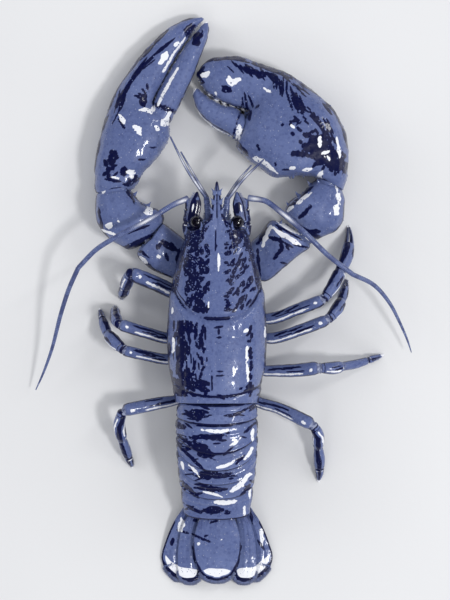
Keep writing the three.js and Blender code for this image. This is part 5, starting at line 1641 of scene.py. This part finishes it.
# Walking legs, numbered from the front after the claws. A row is x, y, z, half width.
LEG_PIECES = ("upper", "shank", "foot")
PINCERED = ("leg_2", "leg_3")  # the legs whose feet end in small pincers
LEG_ROWS = {
    "leg_2_left": (
        [(16, -4.4, 9.5, 3.4), (25.6, -5.2, 12.2, 4.2), (38, -10.4, 19, 4.5), (50.4, -15.4, 28.6, 3.9)],
        [(51.4, -16, 29, 3.5), (53.2, -12, 22.5, 3.8), (54.8, -8.4, 16.5, 3.2)],
        [(54.9, -8.2, 16, 2.9), (56, -5.4, 10.5, 3.4), (57.4, -2.4, 4, 1.9), (58, -0.8, 0.4, 0.9)],
    ),
    "leg_3_left": (
        [(16, 17.5, 9.5, 3.2), (28.6, 23, 12, 3.3), (43, 19.4, 18, 3.5), (57.4, 14.8, 25.6, 3.2)],
        [(58.6, 14.4, 26, 3.1), (60.2, 12, 20, 3.4), (61, 9.8, 14.5, 2.9)],
        [(61, 9.6, 14, 2.7), (61.2, 7.8, 9, 3.1), (61.4, 5.4, 3.6, 1.7), (61.4, 4, 0.4, 0.8)],
    ),
    "leg_4_left": (
        [(16, 31.6, 9.5, 3.2), (29.8, 35.6, 11.8, 3.1), (43, 33.2, 16.4, 3.2), (54.8, 30.4, 22.4, 3.1)],
        [(56, 29.6, 22.6, 3.4), (61, 25.4, 18.4, 3.8), (65.4, 20.8, 13.4, 3.0)],
        [(65.6, 20.4, 13, 2.9), (67.8, 15.4, 8.8, 2.9), (69.8, 9.4, 3.6, 1.8), (70.8, 5.6, 0.3, 0.7)],
    ),
    "leg_5_left": (
        [(15, 53, 9.5, 3), (24, 60, 11.6, 2.8), (34, 61.8, 14.6, 3.7), (54.8, 65.8, 20.6, 3.6)],
        [(56.8, 67, 20.6, 3.3), (58.6, 75, 16.4, 3.4), (57.2, 83.4, 11.2, 2.9)],
        [(57, 83.8, 11, 2.8), (55, 90, 7.6, 2.9), (52.6, 97, 3.2, 2.1), (51.2, 101, 0.3, 0.8)],
    ),
    "leg_2_right": (
        [(-16, 3, 9.5, 3.4), (-31.4, 11.2, 12, 3.4), (-48, 5.8, 18.4, 3.6), (-62.4, 0.2, 25.4, 3.3)],
        [(-64, -0.8, 25.6, 3.3), (-69.4, -8.4, 21.8, 3.8), (-73.6, -16.6, 17.4, 3.5)],
        [(-73.8, -17, 17.2, 3.3), (-78.2, -27, 10.8, 4.0), (-79.8, -38, 4, 2.3), (-79.4, -44.4, 0.4, 1)],
    ),
    "leg_3_right": (
        [(-16, 17.5, 9.5, 3.2), (-32, 23, 11.8, 3.3), (-50, 18, 17, 3.5), (-65.2, 12.2, 22.6, 3.2)],
        [(-67, 11.2, 22.6, 3.3), (-71.4, 6.2, 17.6, 3.7), (-74.4, 1, 12.4, 3)],
        [(-74.5, 0.8, 12, 2.8), (-76.2, -4, 7.6, 3), (-77.6, -9.4, 3, 1.7), (-78.2, -12.4, 0.4, 0.8)],
    ),
    "leg_4_right": (
        [(-16, 33, 9.5, 3.2), (-29.6, 42.6, 11.6, 3.2), (-44, 42.4, 15.6, 3.9), (-59.8, 40.8, 20.2, 3.7)],
        [(-62, 40.8, 20.2, 3.4), (-68.6, 40.8, 18, 3.7), (-74.6, 40, 14.8, 3)],
        [(-75, 40, 14.6, 2.8), (-84, 38.4, 9.4, 2.6), (-94, 35.4, 3.4, 1.9), (-100.2, 33.4, 0.3, 0.8)],
    ),
    "leg_5_right": (
        [(-15, 54, 9.5, 3), (-25, 61.4, 11.6, 3.2), (-36.4, 64.8, 14.4, 3.5), (-56, 74, 19.2, 3.7)],
        [(-58, 75.4, 19.2, 3.3), (-60.8, 81.6, 15, 3.4), (-60.9, 88, 10.6, 2.8)],
        [(-60.9, 88.4, 10.4, 2.7), (-61.6, 96, 7, 3.3), (-61.8, 104, 3, 2.4), (-61.4, 109.4, 0.3, 0.9)],
    ),
}
LEGS = {name: dict(zip(LEG_PIECES, rows)) for name, rows in LEG_ROWS.items()}


# How wide a leg piece is along its length, as a share of its stated width
LIMB_FORMS = {
    "upper": curve(
        [(0, 0.95), (0.14, 1.0), (0.24, 0.86), (0.34, 1.06), (0.65, 1.0), (0.86, 1.08), (0.96, 1.1)]
        + [(1, 0.98)]
    ),
    "shank": curve([(0, 0.84), (0.2, 0.94), (0.6, 1.06), (0.9, 1.12), (1, 0.98)]),
    "foot": curve(
        [(0, 0.86), (0.1, 1.02), (0.3, 1.04), (0.5, 1.0), (0.55, 0.84), (0.6, 1.05), (0.8, 1), (1, 0.9)]
    ),
}


def leg_frames(rows, count, form=None):
    frames = path_frames([(x, y, z, half, half * LEG_FLATTEN) for x, y, z, half in rows], count)
    if not form:
        return frames
    size = LIMB_FORMS[form](np.linspace(0, 1, count))[:, None]
    return frames[0], frames[1] * size, frames[2] * size


def leg_relief(seed, joint_at):
    def relief(u, a, p):
        furrow = -0.3 * bell(np.cos(a) - 0.55, 0.12) - 0.3 * bell(np.cos(a) + 0.55, 0.12)
        ring = -0.4 * bell(u - joint_at, 0.015)
        return furrow * step_up(np.sin(a), 0, 0.3) * bell(u - 0.6, 0.3) + ring + 0.09 * ripple(p, 3, seed)

    return relief


def leg_navy(joint_at, streak_count):
    def navy(u, a, p):
        flank, top = rearward(p), on_top(a)
        seam = 0.8 * bell(u - joint_at, 0.014) + 0.5 * step_up(-u, -0.03, 0)
        outline = 0.85 * bell(1 - np.abs(flank), 0.12) * upper(a)
        field = bell(flank + 0.1, 0.25) * bell(u - 0.62, 0.22) * top + FAINT
        streaks = dashes(p, field, streak_count, 9, 0.9, 0, 3, 161)
        return np.clip(np.maximum(outline, streaks) + seam, 0, 1)

    return navy


# Painted highlights on a leg piece: a gleam along the rear flank and a spot on the knee
def leg_glints(joint_at):
    def pale(u, a, p):
        flank, top = rearward(p), on_top(a)
        gleam = bell(flank - 0.55, 0.17) * step_up(u, joint_at + 0.02, joint_at + 0.1)
        gleam = gleam * step_up(-u, -0.9, -0.8)
        knee = bell(u - 0.95, 0.03) * bell(flank - 0.2, 0.3)
        return np.clip(np.maximum(0.85 * gleam, 0.9 * knee) * top, 0, 1)

    return pale


# Where the ring between two joints lies, as a share of a leg piece's length
UPPER_JOINT = 0.24
SHANK_JOINT = 0.12
FOOT_JOINT = 0.55
PINCER_JOINT = 0.1
PINCER_FINGER_JOINT = 0.06
LEG_SHELLS = [("upper", (1, 1.2), UPPER_JOINT), ("shank", (1.2, 1.2), SHANK_JOINT)]  # name, domes, ring


def claw_tip_pale(u, a, p):
    return 0.85 * step_up(u, 0.86, 0.98) + 0.5 * bell(u - FOOT_JOINT - 0.035, 0.015)


def legs():
    for number, (name, leg) in enumerate(LEGS.items()):
        seed = 80 + number * 5
        for piece, domes, joint_at in LEG_SHELLS:
            frames = leg_frames(leg[piece], 90, piece)
            paint = (leg_navy(joint_at, 7 if piece == "upper" else 2), leg_glints(joint_at))
            shape = loft(Shape(), frames, 44, 2.1, domes, leg_relief(seed, joint_at), *paint)
            if piece == "upper":
                edge_row(shape, frames, 0.9, 0.97, 2, 1, 0.7, 1.2, 0.6, seed, sides=8, rows=5)
            register(shape.build(f"{name}_{piece}_shell", LIMB), "leg_shell", f"{name}_{piece}")
        foot = pincer if name.startswith(PINCERED) else claw_foot
        shape = foot(leg["foot"], seed)
        register(shape.build(f"{name}_foot_shell", LIMB), "leg_shell", f"{name}_foot")
        leg_hairs(name, leg["foot"], seed)


def claw_foot(rows, seed):
    frames = leg_frames(rows, 110, "foot")
    relief, navy = leg_relief(seed, FOOT_JOINT), leg_navy(FOOT_JOINT, 2)
    return loft(Shape(), frames, 40, 2.1, (0.8, 0.8), relief, navy, claw_tip_pale)


def pincer(rows, seed):
    """A foot that ends in two fingers side by side."""
    frames = leg_frames(rows, 110)
    palm = part_frames(frames, 0, 0.5)
    relief, navy = leg_relief(seed, PINCER_JOINT), leg_navy(PINCER_JOINT, 2)
    shape = loft(Shape(), palm, 40, 2.1, (0.6, 1.4), relief, navy, joint_glint)
    centre, side, up = part_frames(frames, 0.44, 1)
    run = np.linspace(0, 1, len(centre))[:, None]
    for way in (-1, 1):
        shifted = centre + side * way * (0.5 + 0.25 * run * (1 - run))
        strand = (shifted, side * 0.44, up * (0.75 - 0.15 * run))
        loft(shape, strand, 28, 2, (0.8, 0.6), None, leg_navy(PINCER_FINGER_JOINT, 1), claw_tip_pale)
    return shape


def leg_hairs(name, rows, seed, count=150):
    """Short bristles in tufts along the last piece of a leg."""
    rng = np.random.default_rng(seed)
    centre, side, up = leg_frames(rows, 80)
    i = np.round(rng.beta(2.2, 1.6, count) * 70 + 6).astype(int)
    angle = rng.uniform(0, 2 * math.pi, count)
    out = unit(side[i]) * np.cos(angle)[:, None] + unit(up[i]) * np.sin(angle)[:, None]
    roots = centre[i] + side[i] * np.cos(angle)[:, None] * 0.96 + up[i] * np.sin(angle)[:, None] * 0.96
    forward = unit(np.gradient(centre, axis=0))[i]
    lengths = rng.uniform(0.8, 1.5, count)
    roots[:, 2] = np.maximum(roots[:, 2], 0.3)
    ways = out * 0.5 + forward
    ways[:, 2] = np.where(roots[:, 2] + ways[:, 2] * 1.5 < 0.2, 0.02, ways[:, 2])
    hairs(f"{name}_bristles", roots, ways, lengths, 0.055, 0.0, seed, 0.5)


# Head limbs
FEELER_BASE = [
    (13.6, -34.5, 29.5, 4.4, 4.6),
    (15.6, -44, 31.5, 5.0, 4.8),
    (14.6, -53, 33, 4.6, 4.4),
    (15.4, -59.5, 34.2, 3.6, 3.6),
]
FEELER_SPINES = [
    ((17.6, -50, 33.6), (0.5, -1, 0.1), 5, 1.7),
    ((16.8, -44.5, 35.2), (0.3, -1, 0.4), 2.2, 1.0),
    ((11.6, -60.5, 38.4), (-0.1, -1, 0.1), 4.2, 0.9),
]
FEELER_SCALE = [(14.5, -47, 36.6, 3.2, 0.9), (12.6, -56, 37.8, 3.3, 0.9), (11.8, -63.6, 38.6, 0.9, 0.6)]
SMALL_STEM = [(4.6, -47, 36.5, 2.2, 2.0), (5.4, -54, 37.5, 2.1, 1.9), (6.2, -60.5, 38.2, 1.7, 1.6)]
FEELERS = {
    "antenna_left": [
        (17.4, -60.2, 34.8, 2.0, 2.0),
        (25.4, -56.8, 37.2, 1.7, 1.7),
        (40.4, -47.6, 39.4, 1.6, 1.6),
        (56.4, -39.2, 38.6, 1.55, 1.55),
        (71.4, -30.2, 35.2, 1.5, 1.5),
        (82.4, -19.4, 31, 1.45, 1.45),
    ],
    "antenna_left_end": [
        (82.7, -19, 30.8, 1.44, 1.44),
        (88.6, -6, 26.4, 1.4, 1.4),
        (93.6, 9, 21.6, 1.3, 1.3),
        (99, 29, 15.4, 1.05, 1.05),
        (105, 45, 10, 0.7, 0.7),
        (109.2, 54, 6.6, 0.32, 0.32),
    ],
    "antenna_right": [
        (-19, -60.6, 34.8, 2.0, 2.0),
        (-27.6, -59.2, 37.2, 1.7, 1.7),
        (-40, -50.4, 39.4, 1.65, 1.65),
        (-52.4, -39.6, 38.8, 1.6, 1.6),
        (-66, -26.6, 36, 1.55, 1.55),
        (-80.4, -15.6, 31.4, 1.5, 1.5),
    ],
    "antenna_right_end": [
        (-80.8, -15.3, 31.2, 1.45, 1.45),
        (-93, -9.4, 27, 1.35, 1.35),
        (-103, 1.4, 21.6, 1.15, 1.15),
        (-109.4, 13, 16.6, 0.9, 0.9),
        (-114.4, 24, 12, 0.62, 0.62),
        (-117, 31.4, 9, 0.3, 0.3),
    ],
}
SMALL_FEELERS = {
    "left": [
        [(6.4, -60.6, 38.6, 1.1, 1.1), (17.8, -77.4, 42.6, 0.85, 0.85), (27.6, -96.6, 42.6, 0.5, 0.5)],
        [(5.6, -60.8, 37.4, 1.0, 1.0), (13.2, -73.6, 37, 0.75, 0.75), (21.4, -88, 33.4, 0.45, 0.45)],
    ],
    "right": [
        [(-6.8, -60.2, 38.6, 1.1, 1.1), (-15.4, -71.2, 42, 0.9, 0.9), (-27.6, -83, 44.4, 0.5, 0.5)],
        [(-5.8, -60.6, 37.4, 1.0, 1.0), (-12.4, -70.6, 37, 0.75, 0.75), (-20.4, -80, 35.6, 0.45, 0.45)],
    ],
}
JAW_LEG = [
    (5.4, -28, 11.5, 2.8, 3.2),
    (6.2, -38, 15, 3.1, 3.4),
    (5.8, -47, 21, 2.7, 2.9),
    (4.6, -52.4, 25.5, 1.9, 2),
    (3.8, -54.6, 20.5, 1.3, 1.3),
]
JAW_HAIRS = 260
RING_ROWS = 7  # rows of points to each ring of a feeler


def whip_relief(length, depth=0.12):
    def relief(u, a, p):
        phase = (u * length / RING_STEP) % 1
        return depth * (np.abs(phase - 0.5) * 2 - 0.5)

    return relief


def path_length(stations):
    places = np.array(stations, float)[:, :3]
    return float(np.linalg.norm(np.diff(places, axis=0), axis=1).sum())


# Painted highlights along the long feelers
def feeler_glints(u, a, p):
    return (bell(u - 0.1, 0.07) + bell(u - 0.42, 0.06)) * bell(rearward(p), 0.5) * on_top(a)


def strand_dark(u, a, p):
    return 0.95 * bell(np.abs(np.cos(a)) - 1, 0.35)


# Painted highlights on the small feelers
def strand_gleam(u, a, p):
    return 0.9 * (bell(u - 0.25, 0.12) + bell(u - 0.62, 0.12)) * bell(np.cos(a), 0.5) * on_top(a)


def feelers():
    for name, stations in FEELERS.items():
        length = path_length(stations)
        frames = path_frames(stations, int(length / RING_STEP * RING_ROWS))
        glints = None if name.endswith("end") else feeler_glints
        shape = loft(Shape(), frames, 22, 2, (0.6, 0.3), whip_relief(length), None, glints)
        register(shape.build(f"{name}_whip", FEELER), "feeler", name)
    for label, way in SIDES:
        stem = path_frames(mirrored(SMALL_STEM, way), 70)
        knuckles = lambda u, a, p: -0.4 * bell(u - 0.42, 0.02) - 0.4 * bell(u - 0.74, 0.02)
        shape = loft(Shape(), stem, 28, 2, (0.6, 0.8), knuckles, joint_navy, None)
        for stations in SMALL_FEELERS[label]:
            length = path_length(stations)
            strand = path_frames(stations, int(length / RING_STEP * RING_ROWS))
            loft(shape, strand, 16, 2, (0.5, 0.3), whip_relief(length, 0.07), strand_dark, strand_gleam)
        register(shape.build(f"antennule_{label}_whips", FEELER), "feeler", f"antennule_{label}")
        feeler_base(label, way)


def feeler_base(label, way):
    """The stout base of a long feeler with its scale, spines and the fringe of the scale."""
    frames = path_frames(mirrored(FEELER_BASE, way), 110)
    seams = lambda u: bell(u - 0.4, 0.025) + bell(u - 0.72, 0.025)
    rings = lambda u, a, p: -0.8 * seams(u) + 0.3 * bell(u - 0.66, 0.03) + 0.12 * ripple(p, 4, 7)
    shade = 0.55 if way > 0 else 0.2  # the animal's left base is the darker one

    def dark(u, a, p):
        sides = 0.9 * bell(1 - np.abs(np.cos(a)), 0.3) + shade * step_up(-u, -0.7, -0.3)
        return np.clip(0.8 * seams(u) + sides, 0, 1)

    # A pale ring before the first seam, and a painted highlight on top near the far end
    def pale(u, a, p):
        tip = 0.5 * (way < 0)
        return 0.5 * bell(u - 0.36, 0.02) + (0.9 + tip) * bell(u - 0.86, 0.07) * bell(np.cos(a), 0.4)

    def edge(u, a, p):
        spot_on_right = spots(p, [(-12.3, -55, 8, 3.4, 80)])
        return np.clip(0.95 * bell(1 - np.abs(np.cos(a)), 0.26) + shade + spot_on_right, 0, 1)

    shape = loft(Shape(), frames, 56, 2.1, (1, 1.4), rings, dark, pale, (70, 0.22, 16, evenly(0.2)))
    scale = path_frames(mirrored(FEELER_SCALE, way), 80)
    ridge = lambda u, a, p: 0.4 * bell(np.cos(a), 0.14) * step_up(np.sin(a), 0, 0.3)
    # gleam is a painted highlight along the scale
    gleam = lambda u, a, p: bell(np.cos(a) * way * -1 - 0.35, 0.16) * bell(u - 0.42, 0.2) * on_top(a)
    loft(shape, scale, 40, 2.6, (0.8, 0.6), ridge, edge, gleam)
    placed_spines(shape, FEELER_SPINES, way)
    register(shape.build(f"feeler_base_{label}", HEAD), "body_shell", f"antenna_base_{label}")
    rng = np.random.default_rng(17)
    count = 260
    i = rng.integers(8, 78, count)
    centre, side, _ = scale
    roots = centre[i] - side[i] * way * 0.95
    ways = -unit(side[i]) * way * 0.9 + np.array([0, -0.8, 0.05]) + rng.normal(0, 0.1, (count, 3))
    hairs(f"feeler_scale_fringe_{label}", roots, ways, rng.uniform(1.2, 2.2, count), 0.07, 0.05, 18, 0.4)


def eyes():
    for label, way in SIDES:
        x, y, z = EYE_PLACE
        stalk = [(4.8, -45.2, 41, 1.9, 1.9), (9, -45.6, 42, 2.6, 2.6), (x - 0.6, y, z, 3.3, 3.3)]
        collar = lambda u, a, p: 0.35 * bell(u - 0.72, 0.06) - 0.3 * bell(u - 0.5, 0.06)
        stalk_frames = path_frames(mirrored(stalk, way), 50)
        shape = loft(Shape(), stalk_frames, 36, 2, (0.5, 0.5), collar, None, evenly(1))
        turns = np.radians(np.linspace(-72, 80, 11))
        ball = [(x + EYE_RADIUS * math.sin(t), EYE_RADIUS * math.cos(t)) for t in turns]
        rows = [(px, y - 0.06 * (px - x), z + 0.1, r, r) for px, r in ball]
        loft(shape, path_frames(mirrored(rows, way), 70), 56, 2, (0.2, 0.3))
        register(shape.build(f"eye_{label}_ball", EYE), "eye", f"eye_{label}")


def jaw_rings(u, a, p):
    return -0.5 * bell(u - 0.5, 0.02) - 0.5 * bell(u - 0.76, 0.02) + 0.1 * ripple(p, 3, 9)


def mouth():
    for label, way in SIDES:
        frames = path_frames(mirrored(JAW_LEG, way), 90)
        shape = loft(Shape(), frames, 36, 2.1, (1, 0.6), jaw_rings, joint_navy)
        register(shape.build(f"maxilliped_{label}_shell", UNDERSIDE), "pale_shell", f"maxilliped_{label}")
        rng = np.random.default_rng(23)
        i = rng.integers(30, 86, JAW_HAIRS)
        centre, side, up = frames
        roots = centre[i] - side[i] * way * 0.9
        ways = -unit(side[i]) * way + rng.normal(0, 0.3, (JAW_HAIRS, 3)) + unit(up[i]) * -0.4
        lengths = rng.uniform(1, 2.2, JAW_HAIRS)
        hairs(f"maxilliped_{label}_fringe", roots, ways, lengths, 0.06, 0.1, 24, 0.6)


# Breast
BELLY_TRIM = 0.6  # how far the belly's flat is drawn below the floor, where it is cut off level
BREAST_TOP = 21
BREAST_FRONT, BREAST_REAR = -38, 56
SOCKET_RADIUS = 4.6  # of a walking leg's socket
CLAW_SOCKET = [(5, -27, 14.5, 5.2, 5.2), (12.4, -24.6, 13.4, 6.8, 6.2), (16.4, -23.6, 13, 6.9, 6.2)]
breast_width = curve([(BREAST_FRONT, 4.5), (-24, 10.5), (-4, 13), (30, 14.5), (BREAST_REAR, 12)])
breast_floor = curve(
    [(BREAST_FRONT, 17), (-24, 8), (-15, 0.6), (-9, -BELLY_TRIM), (44, -BELLY_TRIM), (BREAST_REAR, 4)]
)


def breast_seams(u, a, p):
    return -0.5 * bell(np.sin(u * 5 * math.pi), 0.08) - 0.5 * bell(p[..., 0], 0.7) * (np.sin(a) < 0)


def breast():
    y = np.linspace(BREAST_FRONT, BREAST_REAR, 110)
    flat = np.zeros(len(y))
    floor = breast_floor(y)
    centre = np.column_stack([flat, y, (BREAST_TOP + floor) / 2])
    side = np.column_stack([breast_width(y), flat, flat])
    up = np.column_stack([flat, flat, (BREAST_TOP - floor) / 2])
    shape = loft(Shape(), (centre, side, up), 80, 3, (1, 1), breast_seams)
    for leg in LEGS.values():
        start, following = (np.array(row[:3], float) for row in leg["upper"][:2])
        along = lambda share: start + (following - start) * share
        rows = [
            (*along(-0.55), SOCKET_RADIUS * 0.8, SOCKET_RADIUS * 0.9),
            (*along(0.12), SOCKET_RADIUS, SOCKET_RADIUS),
        ]
        loft(shape, path_frames(rows, 24), 36, 2, (0.5, 0.5), None, joint_navy, joint_glint)
    for way in (-1, 1):
        frames = path_frames(mirrored(CLAW_SOCKET, way), 24)
        loft(shape, frames, 44, 2, (0.5, 0.5), None, joint_navy, joint_glint)
    return register(shape.build("breast_shell", UNDERSIDE), "pale_shell", "breast")


def joint_skins():
    """Folded skin that shows in the slits where one shell piece meets the next."""
    shape = Shape()
    folds = lambda u, a, p: 0.3 * np.sin(u * 18)

    def between(near, far, scale):
        sizes = (1, scale, scale)
        frames = tuple(np.linspace(a * size, b * size, 16) for a, b, size in zip(near, far, sizes))
        loft(shape, frames, 32, 2.2, (0.5, 0.5), folds)

    for limb in ((CUTTER_PALM, CUTTER_WRIST, CUTTER_ARM), (CRUSHER_PALM, CRUSHER_WRIST, CRUSHER_ARM)):
        palm, wrist, arm = (edge_frames(rows, 60) for rows in limb)
        between(frame_at(wrist, 0.94), frame_at(palm, 0.05), 0.84)
        between(frame_at(arm, 0.9), frame_at(wrist, 0.12), 0.8)
    for leg in LEGS.values():
        thigh, shank, foot = (leg_frames(leg[piece], 40) for piece in LEG_PIECES)
        between(frame_at(thigh, 0.97), frame_at(shank, 0.06), 0.86)
        between(frame_at(shank, 0.97), frame_at(foot, 0.05), 0.86)
    return register(shape.build("joint_skin", SKIN), "leg_shell")


# Studio
FLOOR_REACH = 6.0
LIT_POINT = (0, 0, 0.02)
# The place of each softbox in metres, its width and height, and its power in watts
SOFTBOXES = {
    "key": ((-1.1, 0.55, 1.9), 0.4, 0.3, 21),
    "strip": ((-1.3, -0.9, 1.2), 0.14, 1.0, 7),
    "fill": ((1.7, -0.7, 1.0), 0.8, 0.8, 7.5),
    "back": ((0.5, 1.7, 1.5), 0.8, 0.5, 4.5),
}
SHINING = ("key", "strip")  # the softboxes whose reflections show on wet shell


def studio():
    corners = [(-1, -1), (1, -1), (1, 1), (-1, 1)]
    floor = bpy.data.meshes.new("floor")
    floor.from_pydata([(x * FLOOR_REACH, y * FLOOR_REACH, 0) for x, y in corners], [], [(0, 1, 2, 3)])
    floor.materials.append(floor_material())
    ground = bpy.data.objects.new("floor", floor)
    bpy.context.scene.collection.objects.link(ground)
    for name, (place, width, height, power) in SOFTBOXES.items():
        softbox(name, place, width, height, power)
    world = bpy.data.worlds.new("studio")
    world.use_nodes = True
    world.node_tree.nodes["Background"].inputs["Color"].default_value = (0.95, 0.97, 1, 1)
    world.node_tree.nodes["Background"].inputs["Strength"].default_value = 0.67
    world.cycles_visibility.glossy = False
    bpy.context.scene.world = world
    bpy.context.scene.view_settings.view_transform = "Standard"


def softbox(name, place, width, height, power):
    light = bpy.data.lights.new(name, "AREA")
    light.shape = "RECTANGLE"
    light.size, light.size_y, light.energy = width, height, power
    lamp = bpy.data.objects.new(name, light)
    lamp.visible_glossy = name in SHINING
    lamp.location = place
    way = np.array(LIT_POINT) - np.array(place)
    pitch = math.acos(-way[2] / np.linalg.norm(way))
    lamp.rotation_euler = (pitch, 0, math.atan2(way[1], way[0]) - QUARTER)
    bpy.context.scene.collection.objects.link(lamp)


def camera():
    lens = bpy.data.cameras.new("camera")
    lens.sensor_width = SENSOR
    lens.lens = SENSOR * (CAMERA_HEIGHT - MEAN_HEIGHT) / PICTURE_TALL
    lens.clip_start, lens.clip_end = 0.05, 20
    eye = bpy.data.objects.new("camera", lens)
    eye.location = (PICTURE_CENTRE[0] / METRE, PICTURE_CENTRE[1] / METRE, CAMERA_HEIGHT / METRE)
    eye.rotation_euler = (0, 0, math.pi)
    bpy.context.scene.collection.objects.link(eye)
    bpy.context.scene.camera = eye


camera()
studio()
carapace()
tail()
fan()
cutter()
crusher()
arm_pieces()
legs()
feelers()
eyes()
mouth()
breast()
joint_skins()
